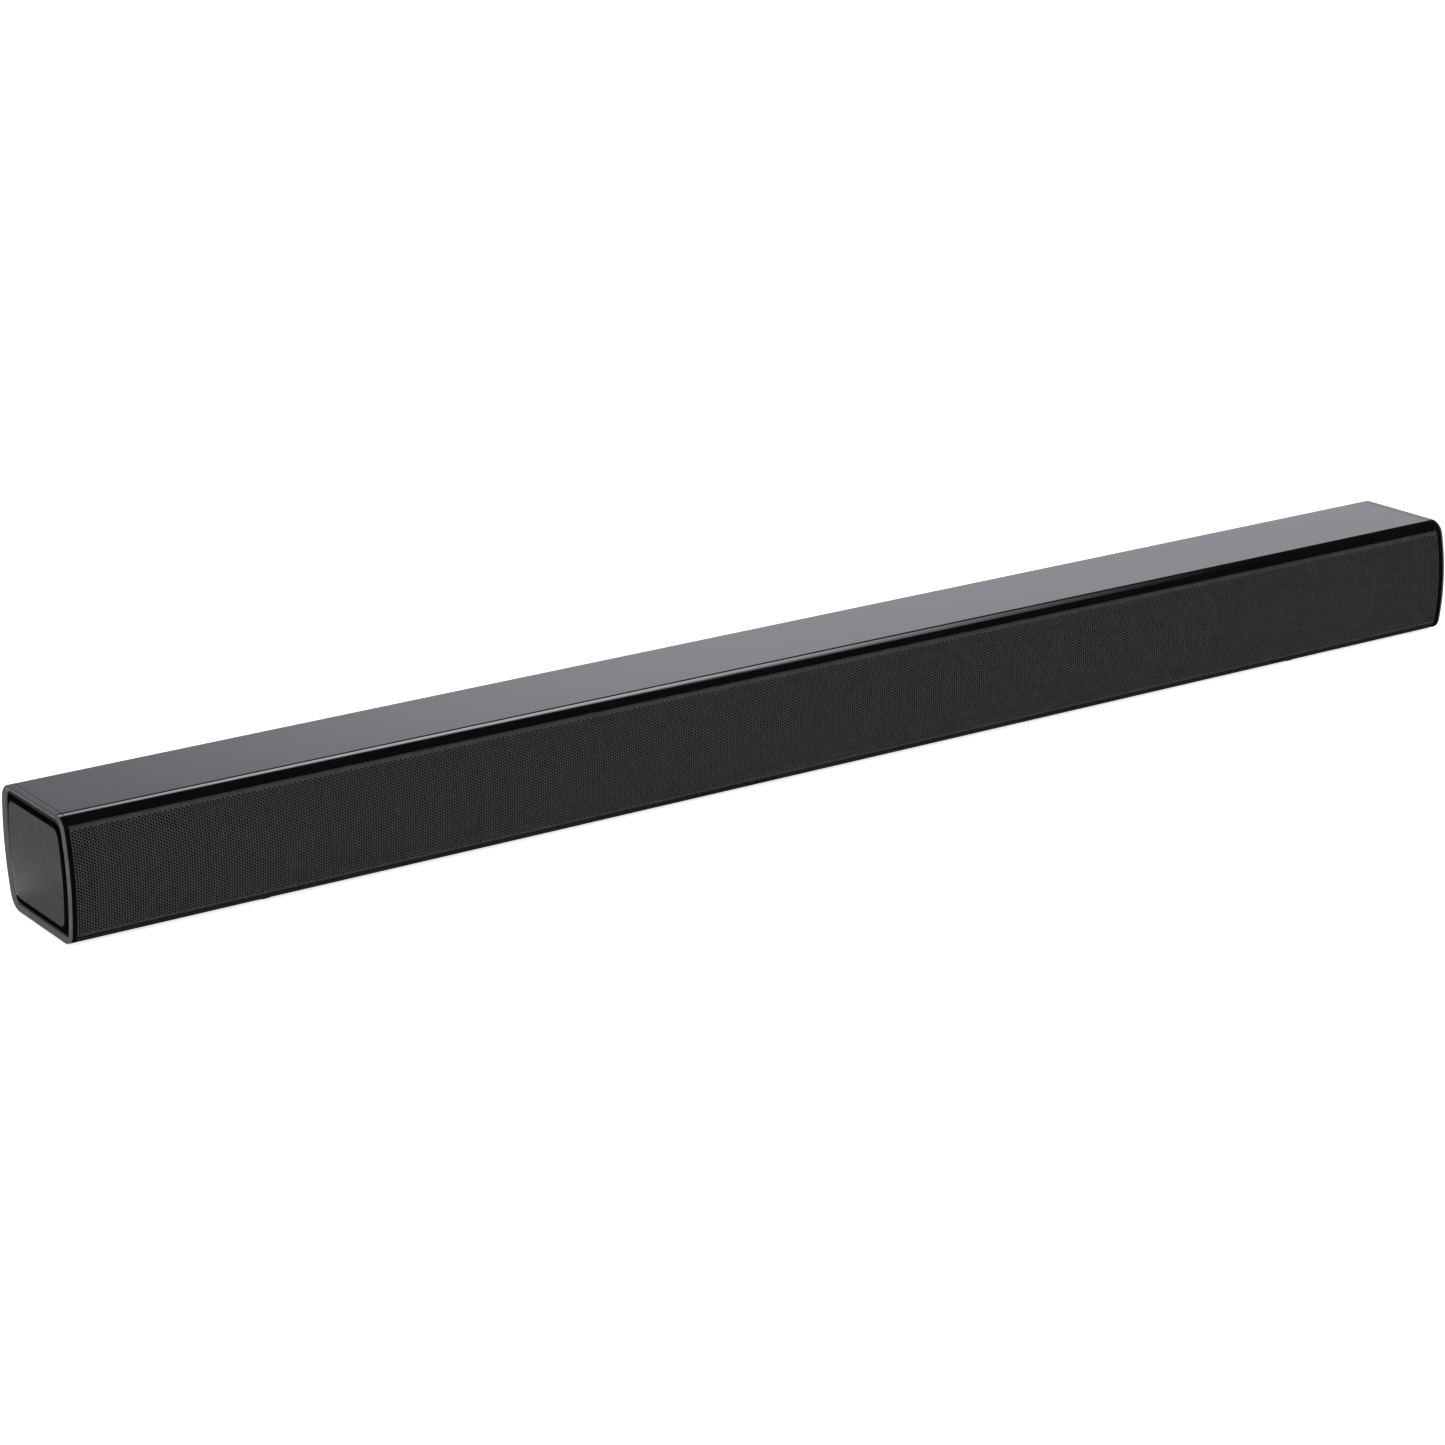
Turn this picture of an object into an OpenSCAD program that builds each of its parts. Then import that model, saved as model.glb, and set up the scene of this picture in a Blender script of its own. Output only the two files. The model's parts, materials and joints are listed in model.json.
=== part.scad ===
// Soundbar: a slim bar loudspeaker that stands under a television or hangs on a wall.
// +X runs along the bar to the right, -Y is the perforated front, +Z is up.
// The origin is at the middle of the footprint, on the surface that the feet stand on.

/* [Body] */
// Length of the bar, end cap to end cap
bar_w = 850; // [800:10:920]
// Depth of the bar, front bulge to back bulge
bar_d = 75; // [75:1:80]
// Height of the body without its feet
body_h = 63.5; // [63:0.5:66]
// Height that the feet lift the body
foot_h = 1.5; // [1:0.5:3]
// How far the front and the back bow out between their corners
bulge = 4; // [3.6:0.1:4.4]
// Height of the fullest point of the bulge
bulge_z = 33.2; // [32:0.2:34]
// Wall thickness of the covers
wall = 2.2; // [2:0.1:2.4]

/* [Corners] */
// Radius of the top front corner
r_top_front = 8.8; // [8:0.2:9.4]
// Radius of the top back corner
r_top_back = 9.2; // [8:0.2:10]
// Radius of the bottom front corner
r_low_front = 6.8; // [6:0.2:8]
// Radius of the bottom back corner
r_low_back = 9.6; // [8:0.2:10.4]

/* [Grille] */
// Angle on the top front corner where the gloss lip ends and the grille starts
lip_angle = 31; // [26:1:36]
// Height where the grille ends above the bottom cover
grille_low_z = 3.6; // [3:0.1:4.4]
// Thickness of the steel sheet
grille_t = 0.8; // [0.6:0.1:1]
// How far the grille lies below the gloss lip
grille_sink = 0.4; // [0.3:0.1:0.6]

/* [End caps] */
// Width of the gloss band at each end
band_w = 4; // [3.6:0.1:5]
// Width of the rim, from the outline to the groove inside it
rim_w = 3.2; // [2.8:0.1:3.6]
// Depth of the groove below the crest of the rim
groove_d = 1.5; // [1.2:0.1:1.6]
// Width of the bevel that rises from the groove to the panel
bevel_w = 4.1; // [3.6:0.1:4.6]
// Depth of the panel below the crest of the rim
panel_sink = 0.4; // [0.4:0.1:0.6]

/* [Drivers] */
// Distance from the middle of the bar to each driver
driver_x = 330; // [310:5:340]
// Height of the driver axis above the body's underside
driver_z = 31.5; // [31:0.5:32]

/* [Buttons] */
// Spacing of the five buttons
button_pitch = 10.5; // [10:0.1:11]
// Radius of a button
button_r = 3.4; // [3:0.1:3.6]

/* [Hidden] */
$fn = 48;

seam = 0.2;                 // gap between neighbouring covers
fillet_steps = 10;          // flats in each rounded corner
side_steps = 14;            // flats in the bowed front and back
min_fillet = 0.4;           // smallest corner radius of an inset outline
side_r = pow(body_h / 2, 2) / (2 * bulge);
front_c = [-bar_d / 2 + side_r, bulge_z];
back_c = [bar_d / 2 - side_r, bulge_z];

end_x = bar_w / 2;          // crest of the end cap's rim
shell_x = end_x - band_w;   // ends of the covers and the grille
cap_in_x = shell_x + 0.6;   // inner face of the end cap's wall
panel_x = end_x - panel_sink;
panel_t = 1.8;
panel_inset = rim_w + bevel_w;
panel_corner = 5;           // corner radius of the inset panel
spigot_w = 8;               // how far the end cap reaches into the covers
inner_x = shell_x - spigot_w - 5;

split_back_z = 53;          // seam between the top cover and the rear cover
split_low_z = 9.2;          // seam between the rear cover and the bottom cover
lip_z = fillet_c(0, r_top_front, true, true)[1] + r_top_front * sin(lip_angle);

baffle_y = -29;             // front face of the baffle
baffle_t = 3;
wall_x = 249;               // inner face of each chamber wall
chamber_wall_t = 2.5;

// ---- outline of the bar ----

function arc_pts(c, r, a0, a1, n) =
    [for (k = [0:n]) let (a = a0 + (a1 - a0) * k / n) [c[0] + r * cos(a), c[1] + r * sin(a)]];

// centre and radius of one corner of the outline inset by i, with a least radius m
function fillet_r(i, r, m) = max(r - i, m);
function fillet_c(i, r, is_front, is_top, m = min_fillet) =
    let (rr = fillet_r(i, r, m),
         z = is_top ? body_h - i - rr : i + rr,
         reach = sqrt(pow(side_r - i - rr, 2) - pow(z - bulge_z, 2)))
    [is_front ? front_c[0] - reach : back_c[0] + reach, z];

function angle_to(c, p) = atan2(p[1] - c[1], p[0] - c[0]);
function turn(a) = a < 0 ? a + 360 : a;

// closed outline in (y, z), inset by i from the bar's outside, with a least corner radius m
function outline(i, m = min_fillet) =
    let (tf = fillet_c(i, r_top_front, true, true, m),
         lf = fillet_c(i, r_low_front, true, false, m),
         tb = fillet_c(i, r_top_back, false, true, m),
         lb = fillet_c(i, r_low_back, false, false, m),
         a_tf = turn(angle_to(front_c, tf)),
         a_lf = turn(angle_to(front_c, lf)),
         a_tb = angle_to(back_c, tb),
         a_lb = angle_to(back_c, lb))
    concat(
        arc_pts(tb, fillet_r(i, r_top_back, m), a_tb, 90, fillet_steps),
        arc_pts(tf, fillet_r(i, r_top_front, m), 90, a_tf, fillet_steps),
        [for (k = [1:side_steps - 1]) arc_pts(front_c, side_r - i, a_tf, a_lf, side_steps)[k]],
        arc_pts(lf, fillet_r(i, r_low_front, m), a_lf, 270, fillet_steps),
        arc_pts(lb, fillet_r(i, r_low_back, m), 270, 360 + a_lb, fillet_steps),
        [for (k = [1:side_steps - 1]) arc_pts(back_c, side_r - i, a_lb, a_tb, side_steps)[k]]);

// ---- helpers ----

module lift() { translate([0, 0, foot_h]) children(); }

// extrudes a (y, z) shape along X from x0 to x1
module along_x(x0, x1) {
    translate([x0, 0, 0]) rotate([90, 0, 90]) linear_extrude(x1 - x0) children();
}

// box from its lowest to its highest corner
module block(lo, hi) { translate(lo) cube(hi - lo); }

// cylinders along each axis, from the given end
module rod_x(x0, x1, y, z, r) { translate([x0, y, z]) rotate([0, 90, 0]) cylinder(h = x1 - x0, r = r); }
module rod_y(x, y0, y1, z, r) { translate([x, y0, z]) rotate([-90, 0, 0]) cylinder(h = y1 - y0, r = r); }
module rod_z(x, y, z0, z1, r) { translate([x, y, z0]) cylinder(h = z1 - z0, r = r); }

// shell section between two insets
module ring(i, t) {
    difference() {
        polygon(outline(i));
        polygon(outline(i + t));
    }
}

// (y, z) window that keeps y0..y1 and z0..z1
module keep(y0, y1, z0, z1) { translate([y0, z0]) square([y1 - y0, z1 - z0]); }

// flat-sided oval in the XZ plane from y0 to y1: straight part s, end radius r
module oval(y0, y1, s, r) {
    rotate([90, 0, 0]) translate([0, 0, -y1]) linear_extrude(y1 - y0) {
        translate([-s / 2, 0]) circle(r);
        translate([s / 2, 0]) circle(r);
        translate([-s / 2, -r]) square([s, 2 * r]);
    }
}

// direction of a route at its point k
function along(pts, k) =
    let (d = pts[min(k + 1, len(pts) - 1)] - pts[max(k - 1, 0)]) d / norm(d);

// wire along a list of points: a ring of eight corners at each point, capped at both ends
module wire(pts, r) {
    sides = 8;
    n = len(pts);
    rings = [for (k = [0:n - 1])
        let (d = along(pts, k), c = cross(d, [0.31, 0.17, 0.93]), u = c / norm(c), v = cross(d, u))
        for (j = [0:sides - 1]) pts[k] + r * (u * cos(360 * j / sides) + v * sin(360 * j / sides))];
    walls = [for (k = [0:n - 2]) for (j = [0:sides - 1])
        let (a = k * sides + j, b = k * sides + (j + 1) % sides)
        for (face = [[b, a, a + sides], [b, a + sides, b + sides]]) face];
    caps = [[for (j = [0:sides - 1]) j], [for (j = [0:sides - 1]) n * sides - 1 - j]];
    polyhedron(rings, concat(walls, caps));
}

// ---- places that several parts share ----

case_rows = [[-400, -20], [-215, -20], [0, -20], [215, -20], [400, -20],
             [-400, 23], [-215, 23], [0, 23], [215, 23], [400, 23]];
well_r = 5;
well_top = 9.6;             // where the wells of the bottom cover meet the case posts
head_seat = 7;              // where a case screw's head bears in its well
case_post_r = 3.5;

board_z = 17;               // underside of the boards
board_t = 1.6;
board_top = board_z + board_t;
main_x = [40, 180];
power_x = [-190, -60];
board_y = [-14, 20.8];
post_r = 3;
main_posts = [[46, -9], [174, -9], [46, 5], [174, 5]];
power_posts = [[-184, -9], [-66, -9], [-184, 15], [-66, 15]];

bay_x = [54, 166];          // connector bay in the rear cover
bay_z = [14, 36];
bay_y = 23;                 // bay's floor, which the sockets look through
bay_wall = 2;               // wall of each tray that is let into the rear cover
tray_gap = 0.1;             // round each tray
hdmi_x = 72;
optical_x = 96;
usb_x = 121;
aux_x = 146;
hdmi_size = [15.2, 5.9];
usb_size = [14.4, 6.8];
optical_size = [12, 10.4];
aux_r = 3.6;
aux_z = board_top + 4.2;
socket_back_y = 9;

inlet_x = -150;             // mains inlet
inlet_z = board_top + 9;
inlet_y = 28;               // floor of its recess
inlet_half = [14, 11];
inlet_nose_r = 5.4;
inlet_pitch = 8;

hanger_x = 300;             // wall hangers
hanger_y = 31.5;            // outer face of the steel plate
hanger_t = 1.5;
hanger_half_w = 13;
hanger_z = [15, 48];
key_z = 26;                 // round entry of the keyhole
key_r = 4.5;
key_slot_r = 2.3;
key_rise = 11;
hanger_screw_z = [18, 44.5];

foot_places = [[-320, -18], [320, -18], [-320, 18], [320, 18]];
foot_r = 8;
foot_recess = 0.5;

button_z = 33;
button_gap = 0.4;
button_out = 0.3;           // how far a button stands out of the panel
board_x = 410.2 + (end_x - 425);
switch_h = 4.1;
button_posts = [[-24, 23], [24, 23], [-24, 43], [24, 43]];

led_x = [70, 78, 86, 94];
ir_x = 106;
led_z = 48;

// ---- covers ----

// Gloss shell over the top: lip over the grille, flat top and back corner
module top_cover() color([0.03, 0.03, 0.035]) lift()
    along_x(-shell_x, shell_x) intersection() {
        ring(0, wall);
        union() {
            keep(-bar_d, 0, lip_z, body_h + 1);
            keep(0, bar_d, split_back_z, body_h + 1);
        }
    }

// Threaded posts bonded under the top cover, which the case screws pull down
module case_posts() color([0.75, 0.6, 0.25]) lift() for (p = case_rows) difference() {
    rod_z(p[0], p[1], well_top + seam, body_h - wall, case_post_r);
    rod_z(p[0], p[1], well_top, 30, 1.25);
}

// Matt panels at the back, held between the other covers: two windows for the hanger trays, and vents
module rear_cover() color([0.06, 0.06, 0.065]) lift() difference() {
    back_wall(-shell_x, shell_x);
    tray_hole([bay_x[0], 0], [bay_x[1], body_h]);
    tray_hole([inlet_x - inlet_half[0], 0], [inlet_x + inlet_half[0], body_h]);
    for (s = [-1, 1]) tray_hole([s * hanger_x - hanger_half_w, hanger_z[0]],
                                [s * hanger_x + hanger_half_w, hanger_z[1]]);
    // vents over the power board
    for (k = [0:11]) block([-124 + 5 * k, 20, 40], [-122 + 5 * k, bar_d, 49]);
}

// length of the wall at the back, from the bottom cover up to the top cover
module back_wall(low_x, high_x) along_x(low_x, high_x) intersection() {
    ring(0, wall);
    keep(0, bar_d, split_low_z, split_back_z - seam);
}

// window in the rear cover round a tray whose inside runs from lo to hi in (x, z)
module tray_hole(lo, hi) {
    out = bay_wall + tray_gap;
    block([lo[0] - out, 0, lo[1] - out], [hi[0] + out, bar_d, hi[1] + out]);
}

// open tray with its floor and four walls, in a plate as high as the wall at the back
module tray(lo, hi, floor_y, t) difference() {
    union() {
        intersection() {
            along_x(lo[0] - t, hi[0] + t) polygon(outline(0));
            block([lo[0] - t, floor_y - t, lo[1] - t], [hi[0] + t, bar_d, hi[1] + t]);
        }
        back_wall(lo[0] - t, hi[0] + t);
    }
    block([lo[0], floor_y, lo[1]], [hi[0], bar_d, hi[1]]);
}

// Tray that the sockets of the main board look into
module connector_tray() color([0.07, 0.07, 0.075]) lift() difference() {
    tray([bay_x[0], bay_z[0]], [bay_x[1], bay_z[1]], bay_y, bay_wall);
    window(hdmi_x, hdmi_size);
    window(usb_x, usb_size);
    window(optical_x, optical_size);
    rod_y(aux_x, 0, bar_d, aux_z, aux_r + seam);
}

// window through the bay's floor for a socket that stands on the main board
module window(x, size) {
    block([x - size[0] / 2 - seam, 0, board_top - seam],
          [x + size[0] / 2 + seam, bar_d, board_top + size[1] + seam]);
}

// Tray round the mains inlet
module inlet_tray() color([0.07, 0.07, 0.075]) lift() difference() {
    tray([inlet_x - inlet_half[0], inlet_z - inlet_half[1]],
         [inlet_x + inlet_half[0], inlet_z + inlet_half[1]], inlet_y, bay_wall);
    translate([inlet_x, 0, inlet_z]) oval(0, bar_d, inlet_pitch, inlet_nose_r + seam);
}

// Trays for the hanger plates, with room behind each plate for a screw head
module hanger_trays() color([0.07, 0.07, 0.075]) lift() for (s = [-1, 1]) hanger_tray(s * hanger_x);

module hanger_tray(x) {
    seat_y = hanger_y - hanger_t;
    room_y = 23;
    half_w = hanger_half_w + bay_wall;
    intersection() {
        along_x(x - half_w, x + half_w) polygon(outline(0));
        difference() {
            block([x - half_w, room_y - bay_wall, hanger_z[0] - bay_wall],
                  [x + half_w, bar_d, hanger_z[1] + bay_wall]);
            block([x - hanger_half_w, seat_y, hanger_z[0]], [x + hanger_half_w, bar_d, hanger_z[1]]);
            block([x - 8, room_y, key_z - 5.5], [x + 8, bar_d, 42.5]);
            for (z = hanger_screw_z) rod_y(x, room_y + 0.5, bar_d, z, 1.25);
        }
    }
}

// Matt shell underneath: screw wells, posts for the boards, recesses for the feet
module bottom_cover() color([0.06, 0.06, 0.065]) lift() difference() {
    union() {
        along_x(-shell_x, shell_x) intersection() {
            ring(0, wall);
            union() {
                keep(-bar_d, 0, -1, grille_low_z - seam);
                keep(0, bar_d, -1, split_low_z - seam);
            }
        }
        for (p = case_rows) rod_z(p[0], p[1], 1, well_top, well_r);
        for (p = concat(main_posts, power_posts)) rod_z(p[0], p[1], 1, board_z, post_r);
    }
    for (p = case_rows) {
        rod_z(p[0], p[1], -1, head_seat, 3.2);
        rod_z(p[0], p[1], 0, 20, 1.6);
    }
    for (p = concat(main_posts, power_posts)) rod_z(p[0], p[1], 6, 20, 1.25);
    for (p = foot_places) rod_z(p[0], p[1], -1, foot_recess, foot_r + 0.2);
}

// ---- end caps ----

// thin slice of the inset outline at x, for a hull
module slice(x, i, m = min_fillet) { along_x(x, x + 0.01) polygon(outline(i, m)); }

// rounded rim, groove, bevel up to the panel's pocket, and the spigot inside the covers; right end
module end_cap() {
    crest = 0.9;
    difference() {
        union() {
            along_x(shell_x, end_x - 1) polygon(outline(0));
            hull() { slice(end_x - 1.01, 0); slice(end_x - 0.5, 0.14); }
            hull() { slice(end_x - 0.5, 0.14); slice(end_x - 0.15, 0.45); }
            hull() { slice(end_x - 0.15, 0.45); slice(end_x - 0.01, crest); }
        }
        difference() {
            hull() { slice(end_x, crest); slice(end_x - groove_d, rim_w); }
            hull() { slice(end_x - groove_d - 0.01, rim_w); slice(panel_x - 0.01, panel_inset, panel_corner); }
        }
        along_x(panel_x - panel_t, end_x) polygon(outline(panel_inset, panel_corner));
        along_x(shell_x - 1, cap_in_x) polygon(outline(wall * 2));
    }
    along_x(shell_x - spigot_w, shell_x) ring(wall + seam, 1.6);
}

module end_cap_left() color([0.03, 0.03, 0.035]) lift() mirror([1, 0, 0]) end_cap();

module end_cap_right() color([0.03, 0.03, 0.035]) lift() difference() {
    union() {
        end_cap();
        for (p = button_posts) rod_x(board_x + board_t, shell_x + 1, p[0], p[1], 2.6);
    }
    for (y = button_ys) rod_x(shell_x - 1, end_x + 1, y, button_z, button_r + button_gap);
    for (p = button_posts) rod_x(board_x, shell_x - 1, p[0], p[1], 1.1);
}

button_ys = [for (k = [-2:2]) k * button_pitch];

// satin plate set into the cap
module end_panel() {
    along_x(panel_x - panel_t + 0.05, panel_x) polygon(outline(panel_inset + 0.15, panel_corner));
}

module end_panel_left() color([0.12, 0.12, 0.125]) lift() mirror([1, 0, 0]) end_panel();

module end_panel_right() color([0.12, 0.12, 0.125]) lift() difference() {
    end_panel();
    for (y = button_ys) rod_x(shell_x - 1, end_x + 1, y, button_z, button_r + button_gap);
}

// ---- front ----

// Curved steel sheet over the whole front; its perforation is a surface finish
module front_grille() color([0.1, 0.1, 0.1]) lift()
    along_x(-shell_x + 0.1, shell_x - 0.1) intersection() {
        ring(grille_sink, grille_t);
        keep(-bar_d, 0, grille_low_z, lip_z - seam);
    }

// Curved frame that carries the sheet: two rails and five uprights
module grille_frame() color([0.04, 0.04, 0.04]) lift() {
    i = grille_sink + grille_t;
    frame_t = 1.6;
    for (z = [[grille_low_z + 0.2, 8], [54.5, lip_z - seam]])
        along_x(-inner_x, inner_x) intersection() {
            ring(i, frame_t);
            keep(-bar_d, 0, z[0], z[1]);
        }
    for (x = [-inner_x + 3, -200, 0, 200, inner_x - 3])
        along_x(x - 3, x + 3) intersection() {
            ring(i, frame_t);
            keep(-bar_d, 0, grille_low_z + 0.2, lip_z - seam);
        }
}

// Board that the drivers are screwed to, with a window for the lamps
module front_baffle() color([0.09, 0.08, 0.07]) lift() difference() {
    block([-inner_x, baffle_y, wall + 0.4], [inner_x, baffle_y + baffle_t, body_h - wall - 0.4]);
    for (s = [-1, 1]) translate([s * driver_x, 0, driver_z]) {
        oval(baffle_y - 1, baffle_y + baffle_t + 1, 50, 19.6);
        for (p = driver_screw_places) rod_y(p[0], baffle_y - 1, baffle_y + baffle_t + 1, p[1], 1.2);
    }
    block([led_x[0] - 5, baffle_y - 1, led_z - 4], [ir_x + 6, baffle_y + baffle_t + 1, led_z + 4]);
}

// Bulkheads that close off each driver's chamber, with a hole for its lead
module chamber_walls() color([0.05, 0.05, 0.05]) lift() for (s = [-1, 1])
    translate([s > 0 ? wall_x : -wall_x - chamber_wall_t, 0, 0]) difference() {
        along_x(0, chamber_wall_t) intersection() {
            polygon(outline(wall + 0.1));
            keep(baffle_y + baffle_t, bar_d, 0, body_h);
        }
        rod_x(-1, chamber_wall_t + 1, 12, 9, 5);
    }

// ---- drivers, each modelled at x = 0 facing -Y ----

driver_screw_places = [[-38.5, 17], [38.5, 17], [-38.5, -17], [38.5, -17]];
driver_screw_head_r = 2.3;
gasket_t = 0.8;
flange_t = 1.8;
flange_y = baffle_y - gasket_t;         // back of the driver's flange
coil_r = [8.35, 8.85];
magnet_y = -11;                         // front of the magnet's top plate

module at_driver(s) { lift() translate([s * driver_x, 0, driver_z]) children(); }

module driver_basket(s) color([0.2, 0.2, 0.21]) at_driver(s) difference() {
    union() {
        oval(flange_y - flange_t, flange_y, 52, 23.5);
        hull() {
            oval(flange_y - 0.5, flange_y, 50, 19);
            rod_y(0, magnet_y - 2, magnet_y, 0, 22);
        }
        block([s * -38 - 4, -24, -3], [s * -38 + 4, -22, 3]);
    }
    hull() {
        oval(flange_y - flange_t - 1, flange_y - flange_t, 50, 17);
        rod_y(0, magnet_y - 4, magnet_y - 2, 0, 19.5);
    }
    rod_y(0, magnet_y - 5, magnet_y + 1, 0, 15);
    for (p = driver_screw_places) rod_y(p[0], flange_y - flange_t - 1, flange_y + 1, p[1], 1.5);
    for (a = [-1, 1]) block([a * 22 - 5, flange_y + 3, -40], [a * 22 + 5, magnet_y - 4, 40]);
}

module driver_basket_left() { driver_basket(-1); }
module driver_basket_right() { driver_basket(1); }

// Ring magnet between its plates, with the pole that the coil moves over
module driver_magnet(s) color([0.35, 0.35, 0.36]) at_driver(s) {
    difference() {
        union() {
            rod_y(0, magnet_y, magnet_y + 3, 0, 20);
            rod_y(0, magnet_y + 3, magnet_y + 12, 0, 22);
            rod_y(0, magnet_y + 12, magnet_y + 15, 0, 20);
        }
        rod_y(0, magnet_y - 1, magnet_y + 12, 0, coil_r[1] + 0.4);
    }
    rod_y(0, magnet_y, magnet_y + 12.5, 0, coil_r[0] - 0.4);
}

module driver_magnet_left() { driver_magnet(-1); }
module driver_magnet_right() { driver_magnet(1); }

// Rubber roll between the cone and the basket's flange
module driver_surround(s) color([0.05, 0.05, 0.05]) at_driver(s) {
    front_y = flange_y - flange_t;
    difference() {
        oval(front_y - 0.7, front_y, 50, 19);
        oval(front_y - 1, front_y + 1, 50, 13);
    }
    difference() {
        oval(front_y - 1.8, front_y - 0.7, 50, 17);
        oval(front_y - 3, front_y - 0.6, 50, 14.6);
    }
}

module driver_surround_left() { driver_surround(-1); }
module driver_surround_right() { driver_surround(1); }

// Paper cone, dust cap and coil former: the part that moves
module driver_cone(s) color([0.15, 0.15, 0.15]) at_driver(s) {
    rim_y = flange_y - flange_t;
    neck_y = rim_y + 9;
    difference() {
        hull() {
            oval(rim_y - 0.5, rim_y, 50, 12.6);
            rod_y(0, neck_y - 1, neck_y, 0, 10);
        }
        hull() {
            oval(rim_y - 1.5, rim_y - 0.5, 50, 12);
            rod_y(0, neck_y - 2, neck_y - 1, 0, 9);
        }
        rod_y(0, neck_y - 3, neck_y + 1, 0, 8);
    }
    difference() {
        rod_y(0, neck_y - 0.5, magnet_y + 7, 0, coil_r[1]);
        rod_y(0, neck_y - 1, magnet_y + 8, 0, coil_r[0]);
    }
    intersection() {
        translate([0, neck_y + 8, 0]) difference() { sphere(13.5); sphere(12.9); }
        rod_y(0, rim_y - 1, neck_y - 1, 0, 12);
    }
}

module driver_cone_left() { driver_cone(-1); }
module driver_cone_right() { driver_cone(1); }

// Woven discs that centre the coils
module driver_spiders() color([0.7, 0.55, 0.2]) for (s = [-1, 1]) at_driver(s) difference() {
    rod_y(0, magnet_y - 6.6, magnet_y - 6, 0, 19);
    rod_y(0, magnet_y - 7, magnet_y - 5, 0, coil_r[1] + 0.4);
}

// Foam rings between the drivers and the baffle
module driver_gaskets() color([0.12, 0.12, 0.12]) for (s = [-1, 1]) at_driver(s) difference() {
    oval(flange_y, baffle_y, 52, 23.5);
    oval(flange_y - 1, baffle_y + 1, 50, 19.6);
    for (p = driver_screw_places) rod_y(p[0], flange_y - 1, baffle_y + 1, p[1], 1.5);
}

module driver_screws() color([0.25, 0.25, 0.26]) for (s = [-1, 1]) at_driver(s)
    for (p = driver_screw_places) {
        rod_y(p[0], flange_y - flange_t - 1.4, flange_y - flange_t, p[1], driver_screw_head_r);
        rod_y(p[0], flange_y - flange_t, baffle_y + baffle_t + 2, p[1], 1.1);
    }

// ---- control buttons on the right end ----

module button(y) color([0.14, 0.14, 0.145]) lift() {
    rod_x(cap_in_x - 0.5, panel_x + button_out, y, button_z, button_r);
    rod_x(cap_in_x - 1.9, cap_in_x - 0.5, y, button_z, button_r + 1.1);
    rod_x(board_x + board_t + 3.4, cap_in_x - 1.9, y, button_z, 1.3);
}

module power_button() { button(button_ys[0]); }
module input_button() { button(button_ys[1]); }
module bluetooth_button() { button(button_ys[2]); }
module volume_down_button() { button(button_ys[3]); }
module volume_up_button() { button(button_ys[4]); }

module button_board() color([0.05, 0.3, 0.12]) lift() difference() {
    block([board_x, -28, button_z - 13], [board_x + board_t, 28, button_z + 13]);
    for (p = button_posts) rod_x(board_x - 1, board_x + 3, p[0], p[1], 1.4);
}

// Switch housings, open in front of each button's stem
module tact_switches() color([0.2, 0.2, 0.2]) lift() for (y = button_ys) difference() {
    block([board_x + board_t, y - 3, button_z - 3], [board_x + board_t + switch_h, y + 3, button_z + 3]);
    rod_x(board_x + board_t + 2, board_x + board_t + switch_h + 1, y, button_z, 1.8);
}

// ---- main board and what stands on it ----

module main_board() color([0.04, 0.26, 0.12]) lift() difference() {
    block([main_x[0], board_y[0], board_z], [main_x[1], board_y[1], board_top]);
    for (p = main_posts) rod_z(p[0], p[1], board_z - 1, board_top + 1, 1.4);
}

module amplifier_chip() color([0.08, 0.08, 0.08]) lift()
    block([104, -9, board_top], [116, 3, board_top + 1.6]);

module heatsink() color([0.7, 0.7, 0.72]) lift() {
    base_z = board_top + 1.6;
    block([90, -13, base_z], [130, 7, base_z + 3]);
    for (k = [0:7]) block([90 + 5.5 * k, -13, base_z + 3], [91.5 + 5.5 * k, 7, base_z + 17]);
}

module board_capacitors() color([0.1, 0.12, 0.3]) lift() {
    for (x = [56, 67, 78]) rod_z(x, -8, board_top, board_top + 12.5, 4);
    for (x = [140, 151]) rod_z(x, -8, board_top, board_top + 10, 3.2);
}

module bluetooth_module() color([0.55, 0.56, 0.58]) lift()
    block([156, 0, board_top], [168, 7, board_top + 2.2]);

// open-fronted metal shell with its contact tongue
module shell_socket(x, size, wall_t, tongue) {
    difference() {
        block([x - size[0] / 2, socket_back_y, board_top], [x + size[0] / 2, bay_y, board_top + size[1]]);
        block([x - size[0] / 2 + wall_t, socket_back_y + 2, board_top + wall_t],
              [x + size[0] / 2 - wall_t, bay_y + 1, board_top + size[1] - wall_t]);
    }
    block([x - tongue[0] / 2, socket_back_y + 1, board_top + tongue[1]],
          [x + tongue[0] / 2, bay_y - 1.5, board_top + tongue[2]]);
}

module hdmi_socket() color([0.72, 0.72, 0.74]) lift()
    shell_socket(hdmi_x, hdmi_size, 0.5, [11.6, 2.5, 3.5]);

module usb_socket() color([0.72, 0.72, 0.74]) lift()
    shell_socket(usb_x, usb_size, 0.6, [11.4, 3.9, 5.6]);

module aux_socket() color([0.1, 0.1, 0.1]) lift() difference() {
    union() {
        block([aux_x - 4, socket_back_y, board_top], [aux_x + 4, bay_y - bay_wall, board_top + 8.4]);
        rod_y(aux_x, bay_y - bay_wall - 1, bay_y + 0.6, aux_z, aux_r);
    }
    rod_y(aux_x, socket_back_y + 1, bay_y + 2, aux_z, 1.8);
}

optical_cavity = [8.4, 7.6];            // width and height of the plug's way in
shutter_t = 0.9;
shutter_y = bay_y - 1.2;                // hinge axis
shutter_gap = 0.35;
optical_mid_z = board_top + optical_size[1] / 2;
hinge_z = optical_mid_z + optical_cavity[1] / 2 - 0.9;

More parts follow.
